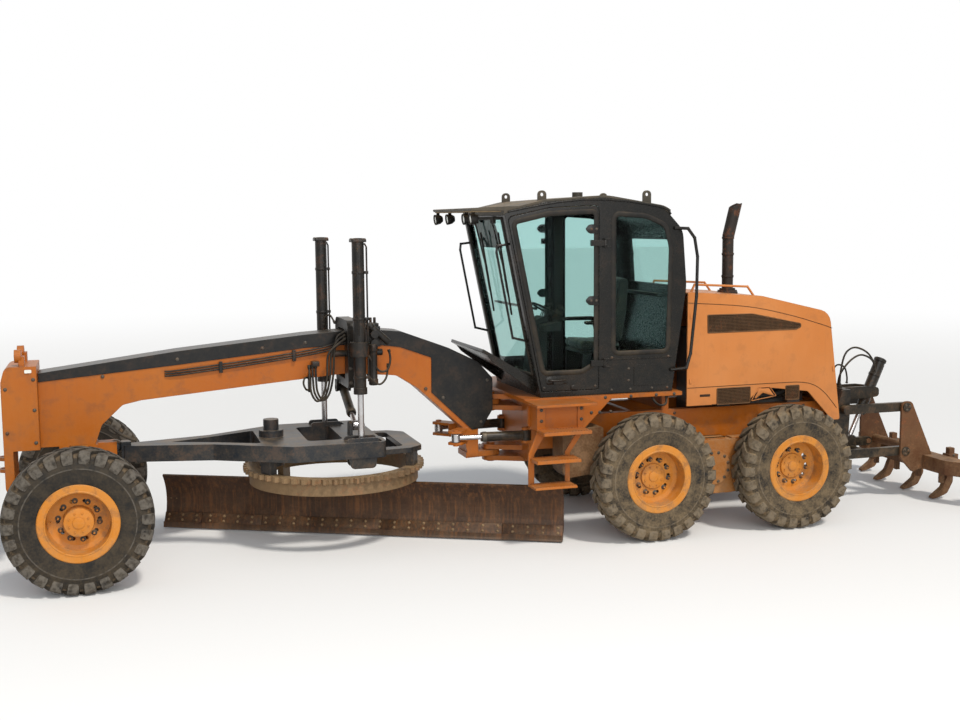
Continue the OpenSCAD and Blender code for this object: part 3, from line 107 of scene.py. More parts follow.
def tube(bm, points, radius, sides=10):
    """A round bar through points, closed at both ends. radius may be a list."""
    rings = []
    for i, (p, u, v) in enumerate(frames_along(points)):
        r = radius[i] if isinstance(radius, (list, tuple)) else radius
        rings.append([bm.verts.new(p + (u * math.cos(t) + v * math.sin(t)) * r)
                      for t in (math.tau * k / sides for k in range(sides))])
    for a, b in zip(rings, rings[1:]):
        for k in range(sides):
            j = (k + 1) % sides
            bm.faces.new((a[k], a[j], b[j], b[k]))
    bm.faces.new(list(reversed(rings[0])))
    bm.faces.new(rings[-1])


def lathe(bm, centre, axis, rows, sides=32, closed=False):
    """A turned form about axis through centre, from (radius, height) rows in metres."""
    axis = Vector(axis).normalized()
    u = axis.orthogonal().normalized()
    v = axis.cross(u)
    rings = []
    for r, h in rows:
        if r < 1e-6:
            rings.append([bm.verts.new(centre + axis * h)])
        else:
            rings.append([bm.verts.new(centre + axis * h + (u * math.cos(t) + v * math.sin(t)) * r)
                          for t in (math.tau * k / sides for k in range(sides))])
    pairs = list(zip(rings, rings[1:])) + ([(rings[-1], rings[0])] if closed else [])
    for a, b in pairs:
        for k in range(sides):
            j = (k + 1) % sides
            corners = [a[0] if len(a) == 1 else a[k], a[0] if len(a) == 1 else a[j],
                       b[0] if len(b) == 1 else b[j], b[0] if len(b) == 1 else b[k]]
            face = list(dict.fromkeys(corners))
            if len(face) > 2:
                bm.faces.new(face)


def smooth_path(points, steps=6):
    """A soft curve through points."""
    out = []
    for i in range(len(points) - 1):
        p0, p1 = points[max(i - 1, 0)], points[i]
        p2, p3 = points[i + 1], points[min(i + 2, len(points) - 1)]
        for k in range(steps):
            t = k / steps
            out.append(0.5 * (2 * p1 + (p2 - p0) * t + (2 * p0 - 5 * p1 + 4 * p2 - p3) * t * t
                              + (3 * p1 - p0 - 3 * p2 + p3) * t ** 3))
    return out + [points[-1]]


def settle(mesh, angle=35):
    """Smooth shading with sharp corners."""
    mesh.shade_smooth()
    mesh.set_sharp_from_angle(angle=math.radians(angle))


def make_piece(bm, name, body, material, bevel=0.0, replaces=(), angle=35):
    """Turns a bmesh into a finished piece that rides on a body."""
    bmesh.ops.recalc_face_normals(bm, faces=bm.faces)
    mesh = bpy.data.meshes.new(name)
    bm.to_mesh(mesh)
    bm.free()
    return make_object(mesh, name, body, material, bevel, replaces, angle)


def make_object(mesh, name, body, material, bevel=0.0, replaces=(), angle=35):
    piece = bpy.data.objects.new(name, mesh)
    bpy.context.scene.collection.objects.link(piece)
    mesh.materials.clear()
    mesh.materials.append(material)
    if bevel:
        soft = piece.modifiers.new("Edges", "BEVEL")
        soft.width = bevel
        soft.segments = 2
        soft.limit_method = "ANGLE"
        soft.angle_limit = math.radians(30)
        bake_modifiers(piece)
    settle(piece.data, angle)
    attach(piece, body)
    if replaces:
        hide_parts(*replaces)
    return piece


def bake_modifiers(piece):
    """Turns a piece with modifiers into a plain mesh."""
    bpy.context.view_layer.update()
    graph = bpy.context.evaluated_depsgraph_get()
    mesh = bpy.data.meshes.new_from_object(piece.evaluated_get(graph), depsgraph=graph)
    piece.modifiers.clear()
    piece.data = mesh


# Shader helpers.

def add(tree, kind, inputs=None, **settings):
    """A node with its settings, and its inputs linked or set."""
    node = tree.nodes.new(kind)
    for key, value in settings.items():
        setattr(node, key, value)
    for key, value in (inputs or {}).items():
        socket = node.inputs[key]
        if isinstance(value, bpy.types.NodeSocket):
            tree.links.new(value, socket)
        else:
            socket.default_value = value
    return node


def calc(tree, operation, a, b=0.0, clamp=False):
    return add(tree, "ShaderNodeMath", {0: a, 1: b}, operation=operation, use_clamp=clamp).outputs[0]


def step_up(tree, value, low, high, top=1.0):
    """Rises softly from 0 to top between low and high."""
    return add(tree, "ShaderNodeMapRange", {"Value": value, "From Min": low, "From Max": high,
                                            "To Max": top},
               interpolation_type="SMOOTHSTEP").outputs["Result"]


def blend_colours(tree, factor, a, b, blend="MIX"):
    return add(tree, "ShaderNodeMix", {0: factor, 6: a, 7: b}, data_type="RGBA",
               blend_type=blend).outputs[2]


def noise(tree, where, scale, detail=4.0, rough=0.55):
    return add(tree, "ShaderNodeTexNoise", {"Vector": where, "Scale": scale, "Detail": detail,
                                            "Roughness": rough}).outputs["Fac"]


def new_group(name, inputs, outputs):
    tree = bpy.data.node_groups.new(name, "ShaderNodeTree")
    for label, kind, value in inputs:
        socket = tree.interface.new_socket(label, in_out="INPUT", socket_type="NodeSocket" + kind)
        socket.default_value = value
    for label, kind in outputs:
        tree.interface.new_socket(label, in_out="OUTPUT", socket_type="NodeSocket" + kind)
    return tree, tree.nodes.new("NodeGroupInput").outputs, tree.nodes.new("NodeGroupOutput").inputs


def colour(red, green, blue):
    """A colour as seen on screen, for a shader."""
    return tuple(((c + 0.055) / 1.055) ** 2.4 if c > 0.04045 else c / 12.92
                 for c in (red, green, blue)) + (1.0,)


DUST = colour(0.76, 0.65, 0.49)
RUST = colour(0.36, 0.19, 0.10)
BARE = colour(0.20, 0.18, 0.17)


def build_weather():
    """Sun fade, stains, worn edges, rust and dust over any finish."""
    tree, give, take = new_group("Weathering", [
        ("Finish", "Color", DUST), ("Faded", "Color", DUST), ("Worn", "Color", BARE),
        ("Rust", "Color", RUST), ("Dust", "Color", DUST), ("Fade", "Float", 0.5),
        ("Stains", "Float", 0.4), ("Edge Wear", "Float", 0.5), ("Rust Amount", "Float", 0.2),
        ("Dust Amount", "Float", 0.4), ("Dust Height", "Float", 1.2), ("Roughness", "Float", 0.45),
        ("Grain", "Float", 0.3)], [("Color", "Color"), ("Roughness", "Float"), ("Normal", "Vector")])
    where = add(tree, "ShaderNodeTexCoord").outputs["Object"]
    broad = noise(tree, where, 0.9)
    blotch = noise(tree, where, 6.5, 7, 0.62)
    fine = noise(tree, where, 48, 4, 0.6)
    speck = noise(tree, where, 210, 2)
    run = add(tree, "ShaderNodeMapping", {"Vector": where, "Scale": (26, 26, 1.3)}).outputs[0]
    streak = noise(tree, run, 1.0, 5, 0.6)
    shape = add(tree, "ShaderNodeNewGeometry")
    level = add(tree, "ShaderNodeSeparateXYZ", {0: shape.outputs["Normal"]}).outputs["Z"]
    height = add(tree, "ShaderNodeSeparateXYZ", {0: where}).outputs["Z"]
    soft = add(tree, "ShaderNodeBevel", {"Radius": 0.009}, samples=4).outputs[0]
    turned = add(tree, "ShaderNodeVectorMath", {0: soft, 1: shape.outputs["Normal"]},
                 operation="DOT_PRODUCT").outputs["Value"]
    edge = step_up(tree, calc(tree, "SUBTRACT", 1.0, turned), 0.012, 0.12)
    patchy = step_up(tree, calc(tree, "ADD", calc(tree, "MULTIPLY", blotch, 0.5),
                                calc(tree, "MULTIPLY", fine, 0.5)), 0.44, 0.58)
    worn = calc(tree, "MULTIPLY", calc(tree, "MULTIPLY", edge, patchy), give["Edge Wear"], True)
    fade = calc(tree, "MULTIPLY", step_up(tree, broad, 0.3, 0.7), give["Fade"], True)
    body = blend_colours(tree, fade, give["Finish"], give["Faded"])
    stain = calc(tree, "MULTIPLY", step_up(tree, blotch, 0.47, 0.72), give["Stains"])
    runs = calc(tree, "MULTIPLY", step_up(tree, streak, 0.52, 0.78), give["Stains"])
    grime = calc(tree, "MAXIMUM", stain, calc(tree, "MULTIPLY", runs, 0.8))
    body = blend_colours(tree, calc(tree, "MULTIPLY", grime, 0.5, True), body, give["Worn"])
    lift = step_up(tree, speck, 0.35, 0.65)
    body = blend_colours(tree, calc(tree, "MULTIPLY", lift, 0.12), body, give["Faded"])
    rusty = calc(tree, "MULTIPLY",
                 step_up(tree, calc(tree, "ADD", blotch, calc(tree, "MULTIPLY", fine, 0.35)),
                                           0.70, 0.82), give["Rust Amount"], True)
    body = blend_colours(tree, worn, body, give["Worn"])
    rust = blend_colours(tree, step_up(tree, fine, 0.4, 0.7), give["Rust"], colour(0.50, 0.28, 0.13))
    body = blend_colours(tree,
                         calc(tree, "MAXIMUM", rusty, calc(tree, "MULTIPLY", worn, give["Rust Amount"])),
                         body, rust)
    low = calc(tree, "SUBTRACT", 1.0, calc(tree, "DIVIDE", height, give["Dust Height"]), True)
    shelf = step_up(tree, level, 0.15, 0.9, 0.75)
    settled = calc(tree, "ADD", calc(tree, "MULTIPLY", low, 0.7), calc(tree, "ADD", shelf, 0.16))
    cling = step_up(tree, calc(tree, "ADD", calc(tree, "MULTIPLY", blotch, 0.65),
                               calc(tree, "MULTIPLY", fine, 0.35)), 0.33, 0.66)
    dusty = calc(tree, "MULTIPLY", calc(tree, "MULTIPLY", settled, cling), give["Dust Amount"], True)
    body = blend_colours(tree, dusty, body, give["Dust"])
    tree.links.new(body, take["Color"])
    rough = calc(tree, "ADD", give["Roughness"], calc(tree, "MULTIPLY", calc(tree, "MAXIMUM", dusty, worn),
                                                      0.4), True)
    rough = calc(tree, "ADD", rough, calc(tree, "MULTIPLY", calc(tree, "SUBTRACT", fine, 0.5), 0.16), True)
    tree.links.new(rough, take["Roughness"])
    relief = calc(tree, "ADD", calc(tree, "MULTIPLY", fine, 0.6), calc(tree, "MULTIPLY", speck, 0.4))
    relief = calc(tree, "ADD", calc(tree, "MULTIPLY", relief, give["Grain"]),
                  calc(tree, "MULTIPLY", worn, -0.25))
    bump = add(tree, "ShaderNodeBump", {"Strength": 0.5, "Distance": 0.002, "Height": relief,
                                        "Normal": soft})
    tree.links.new(bump.outputs[0], take["Normal"])
    return tree


MATERIALS = {}


def shader(name):
    """An empty material with its Principled shader."""
    material = bpy.data.materials.new(name)
    material.use_nodes = True
    tree = material.node_tree
    tree.nodes.clear()
    out = tree.nodes.new("ShaderNodeOutputMaterial")
    main = tree.nodes.new("ShaderNodeBsdfPrincipled")
    tree.links.new(main.outputs[0], out.inputs["Surface"])
    MATERIALS[name] = material
    return tree, main


def finish_with(name, paint, faded=None, metallic=0.0, coat=0.0, **amounts):
    """A weathered finish. amounts are the weathering group's inputs."""
    tree, main = shader(name)
    group = tree.nodes.new("ShaderNodeGroup")
    group.node_tree = bpy.data.node_groups["Weathering"]
    group.inputs["Finish"].default_value = colour(*paint)
    group.inputs["Faded"].default_value = colour(*(faded or [min(1.0, c * 1.12 + 0.03) for c in paint]))
    for key, value in amounts.items():
        socket = group.inputs[key.replace("_", " ").title()]
        socket.default_value = colour(*value) if isinstance(value, tuple) else value
    for key in ("Roughness", "Normal"):
        tree.links.new(group.outputs[key], main.inputs[key])
    tree.links.new(group.outputs["Color"], main.inputs["Base Color"])
    main.inputs["Metallic"].default_value = metallic
    main.inputs["Coat Weight"].default_value = coat
    main.inputs["Coat Roughness"].default_value = 0.25
    main.inputs["Specular IOR Level"].default_value = 0.26
    return tree, main, group


def build_materials(colours):
    build_weather()
    frame_tone, hood_tone = tuple(colours.frame_paint), tuple(colours.hood_paint)
    dark, rim = tuple(colours.dark_paint), tuple(colours.rim_paint)
    finish_with("frame_paint", frame_tone, (0.65, 0.37, 0.09), fade=0.6, stains=0.35, edge_wear=0.5,
                rust_amount=0.22, dust_amount=0.18, dust_height=1.5, roughness=0.38)
    finish_with("hood_paint", hood_tone, (0.77, 0.50, 0.28), fade=0.8, stains=0.16, edge_wear=0.3,
                rust_amount=0.08, dust_amount=0.16, dust_height=1.5, roughness=0.40, grain=0.2)
    finish_with("rim_paint", rim, (0.76, 0.51, 0.20), fade=0.6, stains=0.6, edge_wear=0.8,
                rust_amount=0.4, dust_amount=0.30, dust_height=1.3, roughness=0.42, worn=(0.26, 0.17, 0.10))
    finish_with("dark_paint", dark, (0.08, 0.077, 0.074), fade=0.6, stains=0.25, edge_wear=0.45,
                rust_amount=0.12, dust_amount=0.16, dust_height=1.8, roughness=0.36,
                worn=(0.24, 0.20, 0.17))
    finish_with("cover_paint", (0.03, 0.036, 0.045), (0.065, 0.072, 0.08), fade=0.6, stains=0.12,
                edge_wear=0.35,
                rust_amount=0.04, dust_amount=0.12, dust_height=1.6, roughness=0.32, grain=0.15,
                worn=(0.22, 0.20, 0.18))
    finish_with("cab_paint", (0.035, 0.035, 0.03), (0.065, 0.064, 0.055), coat=0.08, fade=0.6, stains=0.08,
                edge_wear=0.2, rust_amount=0.02, dust_amount=0.05, dust_height=2.2, roughness=0.26,
                grain=0.12,
                worn=(0.20, 0.18, 0.16))
    finish_with("roof_shell", (0.17, 0.16, 0.14), (0.27, 0.25, 0.21), fade=0.9, stains=0.3, edge_wear=0.3,
                rust_amount=0.0, dust_amount=0.4, dust_height=0.1, roughness=0.5, grain=0.7)
    finish_with("drawbar_paint", (0.055, 0.075, 0.10), (0.15, 0.17, 0.19), fade=0.6, stains=0.25,
                edge_wear=0.6, rust_amount=0.10, dust_amount=0.24, dust_height=1.2, roughness=0.36,
                worn=(0.30, 0.29, 0.28))
    finish_with("tandem_paint", (0.55, 0.295, 0.07), (0.62, 0.40, 0.18), fade=0.7, stains=0.5,
                edge_wear=0.6,
                rust_amount=0.3, dust_amount=0.40, dust_height=1.5, roughness=0.5)
    finish_with("tank_paint", (0.30, 0.18, 0.09), (0.40, 0.27, 0.15), fade=0.7, stains=0.6, edge_wear=0.5,
                rust_amount=0.4, dust_amount=0.4, dust_height=1.9, roughness=0.55)
    finish_with("circle_steel", (0.33, 0.25, 0.17), (0.52, 0.42, 0.30), metallic=0.2, fade=0.8, stains=0.6,
                edge_wear=0.9, rust_amount=0.5, dust_amount=0.4, dust_height=1.2, roughness=0.5, grain=0.9,
                worn=(0.13, 0.10, 0.08))
    finish_with("ripper_steel", (0.30, 0.18, 0.11), (0.42, 0.28, 0.17), metallic=0.1, fade=0.7, stains=0.6,
                edge_wear=0.9, rust_amount=0.8, dust_amount=0.28, dust_height=0.9, roughness=0.6, grain=1.0,
                worn=(0.13, 0.10, 0.08))
    finish_with("exhaust_steel", (0.13, 0.115, 0.105), (0.20, 0.165, 0.14), metallic=0.2, fade=0.8,
                stains=0.6,
                edge_wear=0.6, rust_amount=0.4, dust_amount=0.06, roughness=0.6, grain=0.8)
    finish_with("fitting_steel", (0.26, 0.25, 0.235), (0.38, 0.36, 0.32), metallic=0.5, fade=0.5,
                stains=0.5,
                edge_wear=0.5, rust_amount=0.6, dust_amount=0.25, roughness=0.42, grain=0.4)
    finish_with("hose_rubber", (0.03, 0.03, 0.033), (0.08, 0.078, 0.075), fade=0.6, stains=0.1,
                edge_wear=0.0,
                rust_amount=0.0, dust_amount=0.16, dust_height=2.5, roughness=0.5, grain=0.5)
    finish_with("trim_rubber", (0.03, 0.03, 0.03), (0.075, 0.075, 0.072), fade=0.6, stains=0.1,
                edge_wear=0.0,
                rust_amount=0.0, dust_amount=0.16, dust_height=2.5, roughness=0.6, grain=0.4)
    finish_with("engine_iron", (0.20, 0.20, 0.20), fade=0.5, stains=0.8, edge_wear=0.3, rust_amount=0.4,
                dust_amount=0.3, roughness=0.5, grain=0.7)
    finish_with("console_plastic", (0.10, 0.10, 0.105), (0.17, 0.17, 0.17), fade=0.4, stains=0.1,
                edge_wear=0.1,
                rust_amount=0.0, dust_amount=0.2, roughness=0.55, grain=0.5)
    build_blade_steel()
    build_rubber()
    build_seat_cover()
    build_glass()
    build_chrome()
    build_screen()
    finish_with("lining", (0.55, 0.47, 0.36), (0.62, 0.54, 0.42), fade=0.5, stains=0.3, edge_wear=0.0,
                rust_amount=0.0,
                dust_amount=0.1, roughness=0.8, grain=0.5)
    # Painted shade: this dark brown stands for the shaded inside of the hood seen through the grille wire;
    # the weathering group adds rust and dust mottling over it.
    finish_with("grille_back", (0.10, 0.075, 0.055), (0.16, 0.12, 0.08), fade=0.6, stains=0.3,
                edge_wear=0.0,
                rust_amount=0.3, dust_amount=0.2, dust_height=0.2, roughness=0.8)
    finish_with("seam_dark", (0.16, 0.11, 0.075), (0.24, 0.17, 0.11), fade=0.5, stains=0.4, edge_wear=0.0,
                rust_amount=0.3, dust_amount=0.1, dust_height=0.2, roughness=0.8)
    tree, main = shader("lamp_glass")
    main.inputs["Base Color"].default_value = colour(0.86, 0.86, 0.82)
    main.inputs["Roughness"].default_value = 0.12
    main.inputs["Coat Weight"].default_value = 0.6
    ribs = add(tree, "ShaderNodeTexWave", {"Vector": add(tree, "ShaderNodeTexCoord").outputs["Object"],
                                           "Scale": 45.0})
    bump = add(tree, "ShaderNodeBump", {"Strength": 0.35, "Distance": 0.001, "Height": ribs.outputs["Fac"]})
    tree.links.new(bump.outputs[0], main.inputs["Normal"])


def build_blade_steel():
    """Rust-brown plate, scoured lighter in streaks down its height, bright along the cutting edge."""
    tree, main, group = finish_with(
        "blade_steel", (0.175, 0.105, 0.065), (0.25, 0.16, 0.10), metallic=0.15, fade=0.9, stains=0.25,
        edge_wear=0.4,
        rust_amount=0.12, dust_amount=0.10, dust_height=0.5, roughness=0.42, grain=0.5)
    where = add(tree, "ShaderNodeTexCoord").outputs["Object"]
    down = add(tree, "ShaderNodeMapping", {"Vector": where, "Scale": (34, 34, 0.7)}).outputs[0]
    scours = step_up(tree, noise(tree, down, 1.0, 8, 0.7), 0.45, 0.68, 0.85)
    tone = blend_colours(tree, scours, group.outputs["Color"], colour(0.41, 0.265, 0.15))
    height = add(tree, "ShaderNodeSeparateXYZ", {0: where}).outputs["Z"]
    worn_foot = calc(tree, "MULTIPLY", calc(tree, "SUBTRACT", 1.0, calc(tree, "DIVIDE", height, 0.06),
                                            True), 0.35)
    tone = blend_colours(tree, worn_foot, tone, colour(0.40, 0.35, 0.30))
    tree.links.new(tone, main.inputs["Base Color"])


def build_rubber():
    """Tyre rubber: dark and scuffed, with soil in its grooves."""
    for name, dust in (("front_tyre_rubber", 0.10), ("rear_tyre_rubber", 0.34)):
        tree, main, group = finish_with(
            name, (0.065, 0.062, 0.06), (0.125, 0.118, 0.108), fade=0.7, stains=0.1, edge_wear=0.0,
            rust_amount=0.0,
            dust_amount=dust, dust_height=2.6, roughness=0.72, grain=0.8)
        tread = add(tree, "ShaderNodeAttribute", attribute_name="tread").outputs["Fac"]
        where = add(tree, "ShaderNodeTexCoord").outputs["Object"]
        patch = step_up(tree, noise(tree, where, 22, 6, 0.65), 0.30, 0.62)
        groove = calc(tree, "MULTIPLY", step_up(tree, tread, 0.35, 0.05),
                      calc(tree, "MULTIPLY", patch, 0.35 + dust * 0.8), True)
        tone = blend_colours(tree, groove, group.outputs["Color"], colour(0.52, 0.43, 0.32))
        lug = calc(tree, "MULTIPLY", step_up(tree, tread, 0.7, 1.0), calc(tree, "MULTIPLY", patch, 0.75),
                   True)
        tone = blend_colours(tree, lug, tone, colour(0.40, 0.375, 0.34) if dust < 0.2 else colour(0.46,
                0.41, 0.34))
        tree.links.new(tone, main.inputs["Base Color"])


def build_seat_cover():
    """Woven, slightly shiny seat cloth."""
    tree, main, group = finish_with("seat_cover", (0.10, 0.10, 0.105), (0.18, 0.17, 0.165), fade=0.7,
                                    stains=0.2,
                                    edge_wear=0.0, rust_amount=0.0, dust_amount=0.35, dust_height=2.0,
                                    roughness=0.75, grain=0.2)
    where = add(tree, "ShaderNodeTexCoord").outputs["Object"]
    warp = add(tree, "ShaderNodeTexWave", {"Vector": where, "Scale": 130.0}, bands_direction="X")
    weft = add(tree, "ShaderNodeTexWave", {"Vector": where, "Scale": 130.0}, bands_direction="Z")
    weave = calc(tree, "MAXIMUM", warp.outputs["Fac"], weft.outputs["Fac"])
    bump = add(tree, "ShaderNodeBump", {"Strength": 0.5, "Distance": 0.001, "Height": weave,
                                        "Normal": group.outputs["Normal"]})
    tree.links.new(bump.outputs[0], main.inputs["Normal"])
    main.inputs["Sheen Weight"].default_value = 0.3


def build_glass():
    tree, main = shader("window_glass")
    main.inputs["Base Color"].default_value = colour(0.80, 0.90, 0.89)
    main.inputs["Transmission Weight"].default_value = 1.0
    main.inputs["IOR"].default_value = 1.12
    main.inputs["Specular IOR Level"].default_value = 1.0
    where = add(tree, "ShaderNodeTexCoord").outputs["Object"]
    film = step_up(tree, noise(tree, where, 5.0, 6, 0.65), 0.45, 0.85, 0.12)
    tree.links.new(calc(tree, "ADD", film, 0.015), main.inputs["Roughness"])


def build_chrome():
    finish_with("rod_chrome", (0.72, 0.72, 0.73), (0.78, 0.77, 0.76), metallic=0.9, fade=0.3,
                                    stains=0.35, edge_wear=0.1, rust_amount=0.1, dust_amount=0.3,
                                    dust_height=1.5,
                                    roughness=0.16, grain=0.08)


def build_screen():
    """Rusty wire of the grilles."""
    finish_with("grille_mesh", (0.33, 0.22, 0.13), (0.46, 0.32, 0.19), metallic=0.2, fade=0.8,
                                    stains=0.5, edge_wear=0.4, rust_amount=0.7, dust_amount=0.35,
                                    dust_height=0.2,
                                    roughness=0.6, grain=0.5)


# Steps that make the pieces.

PIECES = []


def register_step(label, note):
    """Turns a function into an operator of this add-on."""
    def wrap(build):
        def execute(self, context):
            build(context.scene)
            return {"FINISHED"}
        name = build.__name__
        PIECES.append(type("GRADER_OT_" + name, (bpy.types.Operator,), {
            "bl_idname": "grader." + name, "bl_label": label, "__doc__": note, "execute": execute,
            "bl_options": {"REGISTER", "UNDO"}}))
        return build
    return wrap


class GraderColours(bpy.types.PropertyGroup):
    """Paint tones of the machine."""
    frame_paint: bpy.props.FloatVectorProperty(name="Frame Paint", subtype="COLOR", size=3, min=0, max=1,
                                               description="Paint of the frames, steps and axle",
                                               default=(0.62, 0.315, 0.04))
    hood_paint: bpy.props.FloatVectorProperty(name="Hood Paint", subtype="COLOR", size=3, min=0, max=1,
                                              description="Sun-faded paint of the hood",
                                              default=(0.72, 0.43, 0.195))
    rim_paint: bpy.props.FloatVectorProperty(name="Rim Paint", subtype="COLOR", size=3, min=0, max=1,
                                             description="Paint of the wheel rims",
                                             default=(0.73, 0.44, 0.10))
    dark_paint: bpy.props.FloatVectorProperty(name="Dark Paint", subtype="COLOR", size=3, min=0, max=1,
                                              description="Paint of the links, saddle and covers",
                                              default=(0.04, 0.04, 0.042))


class GraderTread(bpy.types.PropertyGroup):
    """Sizes of the tyres' tread."""
    lugs: bpy.props.IntProperty(name="Lugs", description="Lugs on each side of a tyre", default=26, min=12,
                                max=40)
    outer_radius: bpy.props.FloatProperty(name="Outer Radius", description="Radius at the lugs' tips",
                                          subtype="DISTANCE",
                                          unit="LENGTH", default=0.635, min=0.5, max=0.8)
    depth: bpy.props.FloatProperty(name="Lug Depth", description="Height of a lug over the carcass",
                                   subtype="DISTANCE",
                                   unit="LENGTH", default=0.034, min=0.01, max=0.06)


CAMERA_AT = (5887, 11754, 3170)
CAMERA_TURNS = (-17.16, 6.59, -0.46)
LENS = 44.94


@register_step("Camera and Stage", "The photograph's viewpoint, a pale floor and soft light")
def stage(scene):
    yaw, pitch, roll = (math.radians(a) for a in CAMERA_TURNS)
    ahead = Vector((math.sin(yaw) * math.cos(pitch), -math.cos(yaw) * math.cos(pitch), -math.sin(pitch)))
    right = Vector((-math.cos(yaw), -math.sin(yaw), 0))
    up = right.cross(ahead)
    side = right * math.cos(roll) + up * math.sin(roll)
    top = up * math.cos(roll) - right * math.sin(roll)
    turn = Matrix((side, top, -ahead)).transposed().to_4x4()
    camera = bpy.data.objects.new("camera", bpy.data.cameras.new("camera"))
    camera.data.lens = LENS
    camera.data.sensor_width = 36
    camera.data.clip_end = 500
    camera.matrix_world = Matrix.Translation(at(*CAMERA_AT)) @ turn
    scene.collection.objects.link(camera)
    scene.camera = camera
    scene.view_settings.view_transform = "Standard"
    bm = bmesh.new()
    bmesh.ops.create_grid(bm, x_segments=8, y_segments=8, size=120)
    mesh = bpy.data.meshes.new("floor")
    bm.to_mesh(mesh)
    bm.free()
    floor = bpy.data.objects.new("floor", mesh)
    floor.location.z = -0.004
    scene.collection.objects.link(floor)
    tree, main = shader("floor")
    main.inputs["Base Color"].default_value = (0.80, 0.79, 0.77, 1)
    main.inputs["Roughness"].default_value = 0.9
    white = add(tree, "ShaderNodeEmission", {"Color": (1, 1, 1, 1), "Strength": 1.0})
    reach = add(tree, "ShaderNodeVectorMath", {0: add(tree, "ShaderNodeTexCoord").outputs["Object"]},
                operation="LENGTH").outputs["Value"]
    far = step_up(tree, reach, 9.0, 34.0)
    seen = add(tree, "ShaderNodeLightPath").outputs["Is Camera Ray"]
    joined = add(tree, "ShaderNodeMixShader", {0: calc(tree, "MULTIPLY", far, seen), 1: main.outputs[0],
                                               2: white.outputs[0]})
    out = [n for n in tree.nodes if n.bl_idname == "ShaderNodeOutputMaterial"][0]
    tree.links.new(joined.outputs[0], out.inputs["Surface"])
    mesh.materials.append(MATERIALS["floor"])
    world = bpy.data.worlds.new("studio")
    scene.world = world
    world.use_nodes = True
    tree = world.node_tree
    tree.nodes.clear()
    path = add(tree, "ShaderNodeLightPath")
    glow = add(tree, "ShaderNodeBackground", {"Color": (0.86, 0.92, 1.0, 1), "Strength": 0.52})
    pale = add(tree, "ShaderNodeBackground", {"Color": (1, 1, 1, 1), "Strength": 1.0})
    sight = calc(tree, "MAXIMUM", path.outputs["Is Camera Ray"],
                 calc(tree, "MAXIMUM", path.outputs["Is Glossy Ray"], path.outputs["Is Transmission Ray"]))
    mixed = add(tree, "ShaderNodeMixShader", {0: sight, 1: glow.outputs[0], 2: pale.outputs[0]})
    tree.links.new(mixed.outputs[0], add(tree, "ShaderNodeOutputWorld").inputs[0])
    sun = bpy.data.lights.new("key", "SUN")
    sun.energy = 2.15
    sun.angle = math.radians(7)
    sun.color = (1.0, 0.96, 0.90)
    key = bpy.data.objects.new("key", sun)
    key.rotation_euler = (math.radians(-33), math.radians(-14), 0)
    scene.collection.objects.link(key)
    fill = bpy.data.lights.new("fill", "AREA")
    fill.shape = "RECTANGLE"
    fill.size, fill.size_y = 12, 5
    fill.energy = 620
    lamp = bpy.data.objects.new("fill", fill)
    aim = Vector((0, 1, 0.28)).to_track_quat("Z", "Y").to_matrix().to_4x4()
    lamp.matrix_world = Matrix.Translation((2, 11, 5)) @ aim
    scene.collection.objects.link(lamp)


NODE_FINISH = {
    "frame_paint": ["rear_frame", "ladders", "front_frame", "nose_plate", "front_axle"],
    "hood_paint": ["hood"], "tandem_paint": ["tandem_left", "tandem_right"], "tank_paint": ["fuel_tank"],
    "cab_paint": ["cab_shell", "door_left", "door_right", "hand_rails"], "roof_shell": ["cab_roof"],
    "cover_paint": ["frame_cover"],
    "dark_paint": ["ripper_mount", "saddle", "lean_left", "lean_right", "knuckle_left",
                   "knuckle_right", "lean_bar", "ripper_lower_link", "ripper_upper_link", "shift_barrel",
                   "swing_barrel_left", "swing_barrel_right", "ripper_barrel"],
    "exhaust_steel": ["exhaust"], "drawbar_paint": ["drawbar"], "circle_steel": ["circle", "blade_carrier"],
    "blade_steel": ["moldboard"], "ripper_steel": ["ripper_beam"],
    "rod_chrome": ["lift_rod_left", "lift_rod_right", "shift_rod", "swing_rod_left", "swing_rod_right",
                   "ripper_rod"],
    "window_glass": ["cab_glass", "door_glass_left", "door_glass_right"], "seat_cover": ["seat"],
    "console_plastic": ["console"], "engine_iron": ["engine"],
    "rim_paint": ["rim_%s_%s" % (a, s) for a in AXLES for s in SIDES],
    "rear_tyre_rubber": ["tyre_%s_%s" % (a, s) for a in ("mid", "rear") for s in SIDES],
    "front_tyre_rubber": ["tyre_front_%s" % s for s in SIDES],
}


@register_step("Finishes", "Paints, metals, rubber and glass, and each on its solids")
def finishes(scene):
    build_materials(scene.grader_colours)
    for name, nodes in NODE_FINISH.items():
        for node in nodes:
            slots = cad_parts[node].data.materials
            slots.clear()
            slots.append(MATERIALS[name])


# Geometry Nodes helpers.

def new_nodes(name, inputs):
    tree = bpy.data.node_groups.new(name, "GeometryNodeTree")
    tree.interface.new_socket("Geometry", in_out="INPUT", socket_type="NodeSocketGeometry")
    for label, kind, value in inputs:
        socket = tree.interface.new_socket(label, in_out="INPUT", socket_type="NodeSocket" + kind)
        if value is not None:
            socket.default_value = value
    tree.interface.new_socket("Geometry", in_out="OUTPUT", socket_type="NodeSocketGeometry")
    return tree, tree.nodes.new("NodeGroupInput").outputs, tree.nodes.new("NodeGroupOutput").inputs


def run_nodes(piece, tree, values):
    """Runs a tree on a piece with its named inputs set, and leaves a plain mesh."""
    modifier = piece.modifiers.new(tree.name, "NODES")
    modifier.node_group = tree
    names = {s.name: s.identifier for s in tree.interface.items_tree if s.in_out == "INPUT"}
    for label, value in values.items():
        modifier[names[label]] = value
    bake_modifiers(piece)


